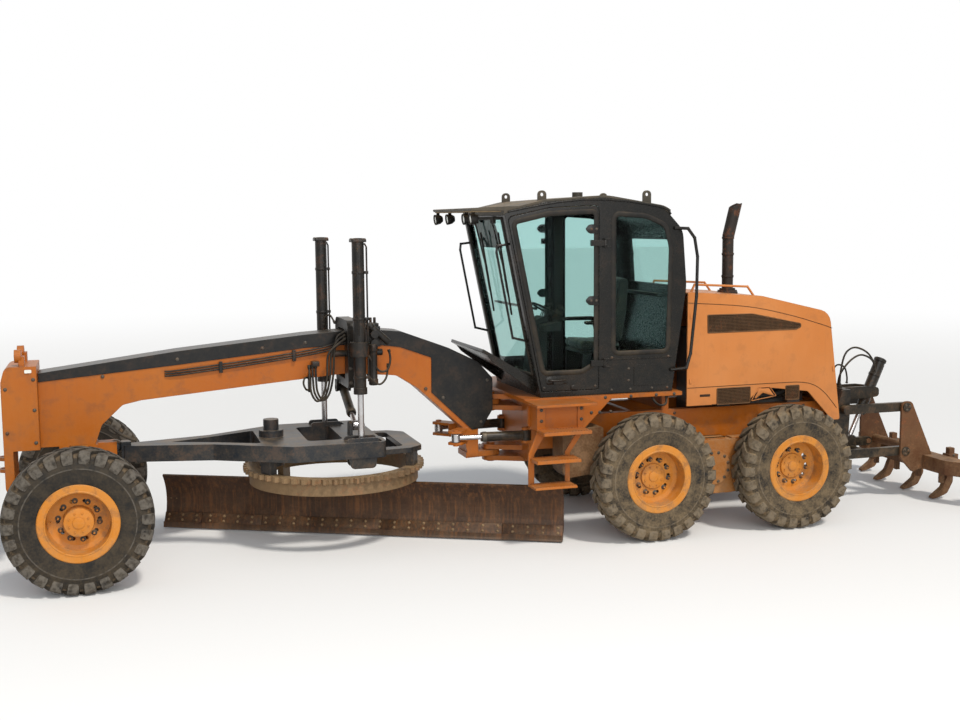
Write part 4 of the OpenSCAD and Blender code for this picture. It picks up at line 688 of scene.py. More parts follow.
def spread_tree():
    """Copies one small part onto every vertex, turned to face along the attribute 'facing'."""
    found = bpy.data.node_groups.get("Spread Parts")
    if found:
        return found
    tree, give, take = new_nodes("Spread Parts", [("Part", "Object", None), ("Size", "Float", 1.0),
                                                  ("Finish", "Material", None)])
    part = add(tree, "GeometryNodeObjectInfo", {"Object": give["Part"]})
    facing = add(tree, "GeometryNodeInputNamedAttribute", {"Name": "facing"}, data_type="FLOAT_VECTOR")
    turn = add(tree, "FunctionNodeAlignRotationToVector", {"Vector": facing.outputs["Attribute"]}, axis="Z")
    spread = add(tree, "GeometryNodeInstanceOnPoints", {
        "Points": give["Geometry"], "Instance": part.outputs["Geometry"], "Rotation": turn.outputs[0],
        "Scale": give["Size"]})
    real = add(tree, "GeometryNodeRealizeInstances", {"Geometry": spread.outputs[0]})
    done = add(tree, "GeometryNodeSetMaterial", {"Geometry": real.outputs[0], "Material": give["Finish"]})
    tree.links.new(done.outputs[0], take[0])
    return tree


def part_mould(name, build):
    """A small part kept out of the scene, for copying."""
    found = bpy.data.objects.get(name)
    if found:
        return found
    bm = bmesh.new()
    build(bm)
    bmesh.ops.recalc_face_normals(bm, faces=bm.faces)
    mesh = bpy.data.meshes.new(name)
    bm.to_mesh(mesh)
    bm.free()
    return bpy.data.objects.new(name, mesh)


def bolt_head(bm):
    """A hexagon head on its washer, 1 across the corners' radius."""
    def ring(r, z, sides, start=0.0):
        return [bm.verts.new((r * math.cos(start + math.tau * k / sides),
                              r * math.sin(start + math.tau * k / sides), z))
                for k in range(sides)]
    rows = [ring(1.45, -0.2, 12), ring(1.45, 0.18, 12)]
    for a, b in zip(rows, rows[1:]):
        for k in range(12):
            bm.faces.new((a[k], a[(k + 1) % 12], b[(k + 1) % 12], b[k]))
    bm.faces.new(rows[-1])
    hexes = [ring(1.0, 0.17, 6), ring(1.0, 0.75, 6), ring(0.82, 0.9, 6)]
    for a, b in zip(hexes, hexes[1:]):
        for k in range(6):
            bm.faces.new((a[k], a[(k + 1) % 6], b[(k + 1) % 6], b[k]))
    bm.faces.new(hexes[-1])


def spread_parts(name, body, material, places, size, mould=("bolt", bolt_head)):
    """Small parts of one kind on a body, at (point, direction) places."""
    mesh = bpy.data.meshes.new(name)
    mesh.from_pydata([tuple(p) for p, d in places], [], [])
    facing = mesh.attributes.new("facing", "FLOAT_VECTOR", "POINT")
    facing.data.foreach_set("vector", [c for p, d in places for c in d])
    piece = bpy.data.objects.new(name, mesh)
    bpy.context.scene.collection.objects.link(piece)
    run_nodes(piece, spread_tree(), {"Part": part_mould(*mould), "Size": size, "Finish": material})
    settle(piece.data)
    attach(piece, body)
    return piece


# Wheels.

def carcass_rows(outer, depth):
    """Half of a tyre's section as (radius, distance from the middle plane)."""
    floor = outer - depth
    return [(0.3056, 0.139), (0.318, 0.146), (0.345, 0.150), (0.352, 0.154), (0.380, 0.159),
            (0.430, 0.1645),
            (0.470, 0.1655), (0.476, 0.1675), (0.484, 0.1675), (0.490, 0.165), (0.530, 0.161),
            (0.560, 0.154),
            (0.582, 0.144), (floor - 0.004, 0.124), (floor, 0.09), (floor + 0.001, 0.0)]


def lug_sections(outer, depth):
    """Stations of one lug: top and root as (across, radius), shift around the tyre, half width."""
    floor = outer - depth - 0.006
    return [((0.004, outer), (0.004, floor), -0.112, 0.031), ((0.050, outer), (0.050, floor), -0.070,
            0.035),
            ((0.092, outer - 0.002), (0.090, floor), -0.028, 0.040),
            ((0.124, outer - 0.006), (0.118, floor - 0.004), -0.004, 0.044),
            ((0.148, outer - 0.014), (0.136, 0.582), 0.0, 0.046), ((0.166, outer - 0.034), (0.146, 0.566),
                    0.0, 0.046),
            ((0.1715, outer - 0.066), (0.153, 0.548), 0.0, 0.045), ((0.170, outer - 0.094), (0.157, 0.530),
                    0.0, 0.042),
            ((0.164, outer - 0.112), (0.159, 0.518), 0.0, 0.036)]


def lug_mesh(outer, depth):
    """One lug at the top of a tyre, with the attribute that marks its worn top."""
    bm = bmesh.new()
    mark = bm.verts.layers.float.new("tread")
    rings = []
    for (ty, tr), (by, br), shift, half in lug_sections(outer, depth):
        ring = []
        for y, r, s, value in ((ty, tr, shift - half, 1.0), (ty, tr, shift + half, 1.0),
                               (by, br, shift + half * 1.22, 0.0), (by, br, shift - half * 1.22, 0.0)):
            v = bm.verts.new((r * math.sin(s / r), y, r * math.cos(s / r)))
            v[mark] = value
            ring.append(v)
        rings.append(ring)
    for a, b in zip(rings, rings[1:]):
        for k in range(4):
            bm.faces.new((a[k], a[(k + 1) % 4], b[(k + 1) % 4], b[k]))
    bm.faces.new(list(reversed(rings[0])))
    bm.faces.new(rings[-1])
    bmesh.ops.recalc_face_normals(bm, faces=bm.faces)
    mesh = bpy.data.meshes.new("lug")
    bm.to_mesh(mesh)
    bm.free()
    return mesh


def tread_tree():
    """Lugs around a tyre's two halves, half a step apart, joined to the carcass."""
    tree, give, take = new_nodes("Tyre Tread", [
        ("Lug", "Object", None), ("Lugs", "Int", 26), ("Finish", "Material", None)])
    step = calc(tree, "DIVIDE", math.tau, give["Lugs"])
    lug = add(tree, "GeometryNodeObjectInfo", {"Object": give["Lug"]}).outputs["Geometry"]
    halves = []
    for side in (1, -1):
        points = add(tree, "GeometryNodePoints", {"Count": give["Lugs"]})
        count = add(tree, "GeometryNodeInputIndex").outputs[0]
        angle = calc(tree, "MULTIPLY", calc(tree, "ADD", count, 0.5 if side > 0 else 0.0), step)
        turn = add(tree, "ShaderNodeCombineXYZ", {"Y": angle}).outputs[0]
        half = add(tree, "GeometryNodeTransform", {"Geometry": lug, "Scale": (1, side, 1)}).outputs[0]
        if side < 0:
            half = add(tree, "GeometryNodeFlipFaces", {"Mesh": half}).outputs[0]
        halves.append(add(tree, "GeometryNodeInstanceOnPoints", {
            "Points": points.outputs[0], "Instance": half, "Rotation": turn}).outputs[0])
    join = tree.nodes.new("GeometryNodeJoinGeometry")
    for part in [give["Geometry"]] + halves:
        tree.links.new(part, join.inputs[0])
    real = add(tree, "GeometryNodeRealizeInstances", {"Geometry": join.outputs[0]})
    done = add(tree, "GeometryNodeSetMaterial", {"Geometry": real.outputs[0], "Material": give["Finish"]})
    tree.links.new(done.outputs[0], take[0])
    return tree


@register_step("Tyres", "Carcass, bead rings and staggered lugs of every tyre")
def tyres(scene):
    sizes = scene.grader_tread
    tree = tread_tree()
    lug = bpy.data.objects.new("lug", lug_mesh(sizes.outer_radius, sizes.depth))
    half = carcass_rows(sizes.outer_radius, sizes.depth)
    rows = half + [(r, -y) for r, y in reversed(half[:-1])]
    for axle, x in AXLES.items():
        for side, s in SIDES.items():
            centre = Vector((x - MID_X, s * WHEEL_Y, HUB_Z))
            bm = bmesh.new()
            bm.verts.layers.float.new("tread")
            lathe(bm, Vector((0, 0, 0)), (0, 1, 0), rows, 96, closed=True)
            mark = bm.verts.layers.float["tread"]
            for v in bm.verts:
                reach = math.hypot(v.co.x, v.co.z)
                v[mark] = 0.0 if reach > 0.575 else 0.9 if 0.472 < reach < 0.488 else 0.5
            bmesh.ops.recalc_face_normals(bm, faces=bm.faces)
            mesh = bpy.data.meshes.new("tyre")
            bm.to_mesh(mesh)
            bm.free()
            name = "tread_%s_%s" % (axle, side)
            piece = bpy.data.objects.new(name, mesh)
            scene.collection.objects.link(piece)
            finish = MATERIALS["front_tyre_rubber" if axle == "front" else "rear_tyre_rubber"]
            run_nodes(piece, tree, {"Lug": lug, "Lugs": sizes.lugs, "Finish": finish})
            mirrored = Matrix.Scale(-1, 4, (1, 0, 0)) if s < 0 else Matrix.Identity(4)
            piece.data.transform(Matrix.Translation(centre) @ mirrored)
            if s < 0:
                piece.data.flip_normals()
            settle(piece.data, 28)
            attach(piece, "wheel_%s_%s" % (axle, side))
            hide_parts("tyre_%s_%s" % (axle, side))


# Outlines shared by the cab's trim.

def rounded(rows, steps=5):
    """A closed outline from (x, y, corner radius) rows."""
    out = []
    for i, (x, y, r) in enumerate(rows):
        b = Vector((x, y))
        a, c = Vector(rows[i - 1][:2]), Vector(rows[(i + 1) % len(rows)][:2])
        if r <= 0:
            out.append((x, y))
            continue
        u, v = (a - b).normalized(), (c - b).normalized()
        half = math.acos(max(-1, min(1, u.dot(v)))) / 2
        middle = b + (u + v).normalized() * (r / math.sin(half))
        start, end = b + u * r / math.tan(half) - middle, b + v * r / math.tan(half) - middle
        for k in range(steps + 1):
            t = k / steps
            spot = start.lerp(end, t).normalized() * r + middle
            out.append((spot.x, spot.y))
    return out


def cab_front(z):
    """The cab's leaning front face at a height."""
    return 1848 + 374 * (z - 1430) / 1840


DOOR_PANE = rounded([(1258, 1750, 20), (1415, 1670, 30), (cab_front(1670) - 75, 1670, 60),
                     (cab_front(3160) - 75, 3160, 50),
                     (1750, 3243, 300), (1258, 3262, 50)])
SIDE_PANE = rounded([(465, 1840, 60), (1070, 1840, 60), (1070, 3240, 60), (720, 3215, 300),
                     (500, 3120, 120), (440, 2900, 300)])
ROOF_ARCH = [(450, 3230), (480, 3272), (540, 3300), (700, 3328), (900, 3358), (1150, 3378), (1400, 3378),
             (1650, 3355),
             (1850, 3325), (2050, 3288), (2180, 3262)]
CAB_SIDE = 700


def ring_tube(bm, outline, y, radius, sides=6, flat=1.0):
    """A cord of trim around a closed outline in X and Z, pressed flat by a share."""
    points = [at(x, y, z) for x, z in outline]
    clean = [p for i, p in enumerate(points) if (p - points[i - 1]).length > 0.002]
    rings = []
    for i, p in enumerate(clean):
        run = (clean[(i + 1) % len(clean)] - clean[i - 1]).normalized()
        out = Vector((0, 1, 0))
        across = run.cross(out)
        rings.append([bm.verts.new(p + (out * math.cos(t) * flat + across * math.sin(t)) * radius)
                      for t in (math.tau * k / sides for k in range(sides))])
    for i, a in enumerate(rings):
        b = rings[(i + 1) % len(rings)]
        for k in range(sides):
            j = (k + 1) % sides
            bm.faces.new((a[k], a[j], b[j], b[k]))


def mirror_y(bm):
    """Adds the mirror image across the machine's middle plane."""
    copy = bmesh.ops.duplicate(bm, geom=bm.verts[:] + bm.edges[:] + bm.faces[:])["geom"]
    verts = [g for g in copy if isinstance(g, bmesh.types.BMVert)]
    for v in verts:
        v.co.y = -v.co.y


@register_step("Cab Trim", "Window seals, door plates, handles, wipers, lamps and the roof's lining")
def cab_trim(scene):
    for side, s in SIDES.items():
        bm = bmesh.new()
        ring_tube(bm, DOOR_PANE, s * (CAB_SIDE - 1), 0.026, 8, 0.35)
        make_piece(bm, "door_seal_" + side, "door_" + side, MATERIALS["trim_rubber"])
        bm = bmesh.new()
        for z in (3088, 2380):
            shape = rounded([(1238, z - 46, 10), (1335, z - 46, 40), (1380, z, 20), (1335, z + 46, 40),
                             (1238, z + 46, 10)])
            slab(bm, shape, "y", s * (CAB_SIDE + 1), s * (CAB_SIDE + 17))
        slab(bm, rounded([(1452, 1496, 10), (1528, 1496, 10), (1528, 1544, 10), (1452, 1544, 10)]), "y",
             s * (CAB_SIDE - 1), s * (CAB_SIDE + 14))
        slab(bm, rounded([(1560, 1556, 24), (1792, 1556, 24), (1792, 1636, 24), (1560, 1636, 24)]), "y",
             s * (CAB_SIDE - 1), s * (CAB_SIDE + 4))
        tube(bm, smooth_path([at(1590, s * (CAB_SIDE + 2), 1598), at(1604, s * (CAB_SIDE + 30), 1598),
                              at(1675, s * (CAB_SIDE + 34), 1598), at(1748, s * (CAB_SIDE + 30), 1598),
                              at(1762, s * (CAB_SIDE + 2), 1598)]), 0.010, 8)
        make_piece(bm, "door_plates_" + side, "door_" + side, MATERIALS["cab_paint"], 0.003)
        places = [(at(x, s * (CAB_SIDE + 17), z), (0, s, 0)) for z in (3088, 2380) for x in (1262, 1318)]
        places += [(at(x, s * CAB_SIDE, z), (0, s, 0)) for x, z in ((1265, 1522), (1810, 1526))]
        spread_parts("door_bolts_" + side, "door_" + side, MATERIALS["fitting_steel"],
                     places, 0.0095)
    bm = bmesh.new()
    ring_tube(bm, SIDE_PANE, CAB_SIDE - 1, 0.026, 8, 0.35)
    mirror_y(bm)
    make_piece(bm, "side_window_seals", "rear_body", MATERIALS["trim_rubber"])
    bm = bmesh.new()
    low, high = 1650, 3200
    corners = [(594, low), (-594, low), (-594, high), (594, high)]
    rings = [at(cab_front(z) + 2, y, z) for y, z in corners]
    for a, b in zip(rings, rings[1:] + rings[:1]):
        tube(bm, [a, b], 0.015, 6)
    make_piece(bm, "windscreen_seal", "rear_body", MATERIALS["trim_rubber"])
    bm = bmesh.new()
    # Lower side panel, and the gutter strip along the roof's edge.
    slab(bm, rounded([(488, 1500, 10), (842, 1500, 10), (842, 1722, 20), (488, 1712, 180)], 8), "y",
         CAB_SIDE - 1, CAB_SIDE + 5)
    tube(bm, [at(428, CAB_SIDE + 2, 1780), at(1115, CAB_SIDE + 2, 1780)], 0.006, 6)
    tube(bm, [at(x, CAB_SIDE + 4, z) for x, z in ROOF_ARCH], 0.011, 8)
    mirror_y(bm)
    make_piece(bm, "cab_pressings", "rear_body", MATERIALS["cab_paint"])
    places = []
    for s in (1, -1):
        places += [(at(x, s * CAB_SIDE, z), (0, s, 0)) for x, z in ((470, 1470), (640, 1470), (880, 1470),
                (1085, 1470),
                                                                  (1085, 1800), (460, 1790), (900, 1560),
                                                                  (900, 1680))]
    spread_parts("cab_bolts", "rear_body", MATERIALS["fitting_steel"], places, 0.010)
    cab_front_parts()
    cab_lining()


def cab_front_parts():
    """Wipers on the windscreen and the lamps under the visor."""
    bm = bmesh.new()
    lean = Vector((374, 0, 1840)).normalized()
    for y, sway in ((330, 190), (-250, 190)):
        foot = at(cab_front(3180) + 22, y, 3180)
        block(bm, (cab_front(3180) - 5, y - 50, 3150), (cab_front(3180) + 24, y + 50, 3215))
        knee = at(cab_front(2650) + 26, y + sway * 0.5, 2650)
        tube(bm, [foot, knee], 0.008, 6)
        tube(bm, [knee + lean * 0.42 + Vector((0, 0.045, 0)), knee - lean * 0.42 - Vector((0, 0.045, 0))],
             0.010, 6)
        tube(bm, [knee + lean * 0.2 + Vector((0.008, 0.02, 0)),
                  knee - lean * 0.2 + Vector((0.008, -0.02, 0))], 0.007, 6)
    make_piece(bm, "wipers", "rear_body", MATERIALS["trim_rubber"])
    bm = bmesh.new()
    glass = bmesh.new()
    for x, y, drop in ((2500, 600, 18), (2480, 300, 18), (2480, -300, 18), (2520, -620, 20)):
        z = 3262 - drop
        face = Vector((1, 0, -0.12)).normalized()
        spot = at(x, y, z - 48)
        lathe(bm, spot, face, [(0, -0.05), (0.030, -0.048), (0.048, -0.02), (0.055, 0.02), (0.055, 0.036),
                               (0.048, 0.036),
                               (0.046, 0.024), (0, 0.022)], 20)
        lathe(glass, spot, face, [(0, 0.031), (0.030, 0.029), (0.045, 0.024), (0.0, 0.020)], 20)
        block(bm, (x - 16, y - 8, z - 12), (x + 16, y + 8, 3273))
    make_piece(bm, "work_lamps", "rear_body", MATERIALS["trim_rubber"])
    make_piece(glass, "work_lamp_glass", "rear_body", MATERIALS["lamp_glass"])


def cab_lining():
    """Pale lining under the roof, the posts inside, a mirror and a sun blind."""
    bm = bmesh.new()
    slab(bm, [(2236, 3262), (2540, 3262), (2540, 3271), (2236, 3271)], "y", -660, 660)
    low = [(x, z - 56) for x, z in ROOF_ARCH[2:]]
    slab(bm, low + [(x, z + 9) for x, z in reversed(low)], "y", -640, 640)
    make_piece(bm, "roof_lining", "rear_body", MATERIALS["lining"])
    bm = bmesh.new()
    for s in (1, -1):
        block(bm, (1105, s * 652 - (45 if s > 0 else 0), 1475), (1215, s * 652 + (0 if s > 0 else 45),
                3240))
        slab(bm, rounded([(520, 1475, 5), (1060, 1475, 5), (1060, 1800, 30), (520, 1900, 80)]), "y",
             s * 652 - 60 * (s > 0), s * 652 + 60 * (s < 0))
    slab(bm, rounded([(cab_front(2900) - 110, 2900, 10), (cab_front(3190) - 70, 3190, 10),
                      (cab_front(3190) - 58, 3190, 4),
                      (cab_front(2900) - 98, 2900, 4)]), "y", -560, 120)
    slab(bm, rounded([(500, 2395, 20), (560, 2395, 20), (560, 2430, 10), (500, 2430, 10)]), "y", -640, 640)
    block(bm, (1860, -640, 2300), (1885, 640, 2322))
    make_piece(bm, "cab_inside", "rear_body", MATERIALS["console_plastic"], 0.004)


@register_step("Driver's Seat and Levers", "Cushions with piping, arm rests, levers with knobs, pedals")
def driver_place(scene):
    bm = bmesh.new()
    block(bm, (835, -160, 1472), (1105, 160, 1560))
    slab(bm, rounded([(850, 1560, 5), (1090, 1560, 5), (1060, 1800, 20), (880, 1800, 20)]), "y", -120, 120)
    slab(bm, rounded([(790, 1790, 15), (1220, 1790, 15), (1215, 1830, 15), (790, 1830, 15)]), "y", -230,
         230)
    for s in (1, -1):
        slab(bm, rounded([(850, 2060, 10), (900, 2060, 10), (900, 2100, 15), (850, 2100, 15)]), "y",
             s * 265, s * 320)
        slab(bm, rounded([(800, 1930, 10), (850, 1900, 10), (905, 2100, 10), (850, 2100, 10)]), "y",
             s * 262, s * 282)
    make_piece(bm, "seat_base", "rear_body", MATERIALS["console_plastic"], 0.004,
               replaces=["seat"])
    for name, rows, half in (
            ("seat_cushion", [(795, 1840, 30), (1235, 1838, 50), (1232, 1935, 45), (1000, 1915, 60),
                              (800, 1925, 40)], 245),
            ("seat_back", [(768, 1925, 30), (885, 1925, 40), (800, 2570, 45), (690, 2570, 45),
                           (720, 2200, 200)], 235)):
        bm = bmesh.new()
        slab(bm, rounded(rows, 4), "y", -half, half)
        bmesh.ops.recalc_face_normals(bm, faces=bm.faces)
        mesh = bpy.data.meshes.new(name)
        bm.to_mesh(mesh)
        bm.free()
        piece = bpy.data.objects.new(name, mesh)
        scene.collection.objects.link(piece)
        voxel = piece.modifiers.new("Remesh", "REMESH")
        voxel.mode = "VOXEL"
        voxel.voxel_size = 0.013
        ease = piece.modifiers.new("Ease", "SMOOTH")
        ease.factor, ease.iterations = 0.8, 9
        bake_modifiers(piece)
        piece.data.materials.clear()
        piece.data.materials.append(MATERIALS["seat_cover"])
        crown_cushion(piece.data, half / 1000)
        piece.data.shade_smooth()
        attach(piece, "rear_body")
    bm = bmesh.new()
    for s in (1, -1):
        slab(bm, rounded([(880, 2100, 12), (1210, 2105, 20), (1210, 2140, 20), (880, 2140, 16)]), "y",
             s * 258, s * 322)
    make_piece(bm, "arm_rests", "rear_body", MATERIALS["trim_rubber"], 0.008)
    bm = bmesh.new()
    knobs = bmesh.new()
    for s in (1, -1):
        for k in range(5):
            x, y = 1490 + 28 * (k % 2), s * (128 + 28 * k)
            top = at(x - 60, y + s * 6, 2285 - 8 * k)
            tube(bm, smooth_path([at(x, y, 2110), at(x - 8, y, 2190), top], 3), 0.005, 6)
            lathe(knobs, top, (-0.2, 0, 1), [(0, -0.012), (0.012, -0.010), (0.017, 0.004), (0.015, 0.018),
                                             (0.008, 0.026),
                                             (0, 0.027)], 12)
    for y in (-150, 150):
        slab(bm, rounded([(1735, 1520, 8), (1815, 1640, 12), (1800, 1650, 6), (1720, 1530, 6)]), "y",
             y - 40, y + 40)
    make_piece(bm, "levers", "rear_body", MATERIALS["fitting_steel"])
    make_piece(knobs, "lever_knobs", "rear_body", MATERIALS["trim_rubber"])


def crown_cushion(mesh, half):
    """Draws the sides in and presses sewn channels across a cushion."""
    for v in mesh.vertices:
        across = v.co.y / half
        dip = 0.006 * math.exp(-((abs(across) - 0.55) / 0.05) ** 2)
        v.co -= v.normal * dip
        v.co += v.normal * 0.010 * (1 - across * across)


UPPER_GRILLE = rounded([(-45, 2000, 8), (-40, 2185, 8), (-560, 2183, 200), (-1140, 2062, 14),
                        (-1146, 2028, 14),
                        (-1085, 2004, 20)])
LOWER_GRILLES = [rounded([(-160, 1240, 10), (-160, 1410, 10), (-550, 1410, 10), (-550, 1240, 10)]),
                 rounded([(-980, 1250, 10), (-980, 1400, 10), (-1140, 1400, 10), (-1140, 1250, 10)])]
HOOD_SIDE = 590


def inside(outline, x, z):
    hit = False
    for i, (x1, z1) in enumerate(outline):
        x0, z0 = outline[i - 1]
        if (z0 > z) != (z1 > z) and x < (x1 - x0) * (z - z0) / (z1 - z0) + x0:
            hit = not hit
    return hit


def mesh_panel(bm, outline, y, pitch):
    """Wire cells inside an outline, as faces that a wireframe thickens."""
    xs, zs = [p[0] for p in outline], [p[1] for p in outline]
    across, up = int((max(xs) - min(xs)) / pitch), int((max(zs) - min(zs)) / pitch)
    spots = {}
    def spot(i, k):
        if (i, k) not in spots:
            spots[i, k] = bm.verts.new(at(min(xs) + i * pitch, y, min(zs) + k * pitch))
        return spots[i, k]
    for i in range(across):
        for k in range(up):
            if inside(outline, min(xs) + (i + 0.5) * pitch, min(zs) + (k + 0.5) * pitch):
                bm.faces.new((spot(i, k), spot(i + 1, k), spot(i + 1, k + 1), spot(i, k + 1)))


@register_step("Hood Trim", "Wire grilles, seams, pressed shapes, slots and catches")
def hood_trim(scene):
    bm = bmesh.new()
    frames = bmesh.new()
    back = bmesh.new()
    for outline in [UPPER_GRILLE] + LOWER_GRILLES:
        mesh_panel(bm, outline, HOOD_SIDE + 5, 15)
        ring_tube(frames, outline, HOOD_SIDE, 0.007)
        # A dark sheet under each grille's wire: painted shade of the hood's inside.
        slab(back, outline, "y", HOOD_SIDE - 3, HOOD_SIDE + 1.5)
    for part in (bm, frames, back):
        mirror_y(part)
    mesh = bpy.data.meshes.new("grille_wire")
    bm.to_mesh(mesh)
    bm.free()
    wire = bpy.data.objects.new("grille_wire", mesh)
    scene.collection.objects.link(wire)
    thick = wire.modifiers.new("Wire", "WIREFRAME")
    thick.thickness = 0.0045
    bake_modifiers(wire)
    wire.data.materials.clear()
    wire.data.materials.append(MATERIALS["grille_mesh"])
    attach(wire, "hood")
    make_piece(frames, "grille_frames", "hood", MATERIALS["grille_mesh"])
    # The grilles' sheets of painted shade.
    make_piece(back, "grille_backs", "hood", MATERIALS["grille_back"])
    bm = bmesh.new()
    seams = [[(186, 1430), (-900, 1436), (-1180, 1428), (-1330, 1390), (-1450, 1310), (-1540, 1215),
              (-1610, 1130)],
             [(186, 2318), (-500, 2262), (-1000, 2160), (-1400, 2045), (-1530, 2000)]]
    for seam in seams:
        line = smooth_path([Vector((x, z, 0)) for x, z in seam], 5)
        tube(bm, [at(p.x, HOOD_SIDE, p.y) for p in line], 0.004, 4)
    tube(bm, [at(-100, HOOD_SIDE, 1243), at(-480, HOOD_SIDE, 1243)], 0.004, 4)
    slab(bm, rounded([(40, 1330, 6), (-80, 1330, 6), (-80, 1356, 6), (40, 1356, 6)]), "y", HOOD_SIDE - 4,
         HOOD_SIDE + 1.5)
    mirror_y(bm)
    make_piece(bm, "hood_seams", "hood", MATERIALS["seam_dark"])
    bm = bmesh.new()
    slab(bm, rounded([(-590, 1262, 8), (-660, 1385, 10), (-775, 1385, 10), (-845, 1290, 8),
                      (-860, 1290, 2), (-700, 1340, 2)]),
         "y", HOOD_SIDE - 4, HOOD_SIDE + 7)
    ring_tube(bm, rounded([(-565, 1258, 6), (-650, 1398, 12), (-785, 1398, 12), (-865, 1300, 6)]),
              HOOD_SIDE + 1, 0.005)
    for x, z in ((150, 1800), (150, 2180), (150, 1500), (-1560, 1560)):
        slab(bm, rounded([(x - 14, z - 26, 6), (x + 14, z - 26, 6), (x + 14, z + 26, 6),
                          (x - 14, z + 26, 6)]), "y",
             HOOD_SIDE - 2, HOOD_SIDE + 6)
    mirror_y(bm)
    make_piece(bm, "hood_pressings", "hood", MATERIALS["hood_paint"], 0.002)
    bm = bmesh.new()
    lathe(bm, at(-520, 120, 2392), (0, 0, 1), [(0.070, 0.02), (0.105, 0.02), (0.105, 0.004), (0.112, 0.0),
                                               (0.112, -0.02),
                                               (0.07, -0.02)], 32, closed=True)
    for z in (2560, 2800, 2975):
        lathe(bm, at(-520, 120, z), (0, 0, 1), [(0.0605, -0.012), (0.066, -0.012), (0.066, 0.012),
                                                (0.0605, 0.012)], 32,
              closed=True)
    make_piece(bm, "exhaust_bands", "hood", MATERIALS["exhaust_steel"], 0.001)


# Small parts of the front frame, wheels, blade and rear. Places are in millimetres.

LIFT_BARRELS = ((3630, 560), (3800, -500))
FRAME_SIDE = 158
NOSE_SIDE = 280
SADDLE_SIDE = 330
NUT_CIRCLE = 0.172
TANDEM_FACE = 840
BLADE_TURN = -27
CIRCLE_X = 3800
RIPPER_BARREL_TOP = (-2420, 0, 1200)
RIPPER_BARREL_RUN = (240, 0, -540)
RIPPER_PIN_HEIGHTS = (545, 1050)

def hose(bm, points, radius=0.011, sides=8):
    """A hose through points in millimetres, with a swaged fitting at each end."""
    path = smooth_path([at(*p) for p in points], 6)
    tube(bm, path, radius, sides)
    for tip, inner in ((path[0], path[2]), (path[-1], path[-3])):
        tube(bm, [tip, tip.lerp(inner, 0.9)], radius * 1.45, sides)


def ring_places(centre, radius, axis, count, start=0.0):
    """Points around a circle about an axis, each facing along it."""
    axis = Vector(axis)
    u = axis.orthogonal().normalized()
    v = axis.cross(u)
    turns = [math.tau * (k + start) / count for k in range(count)]
    return [(centre + (u * math.cos(t) + v * math.sin(t)) * radius, axis) for t in turns]


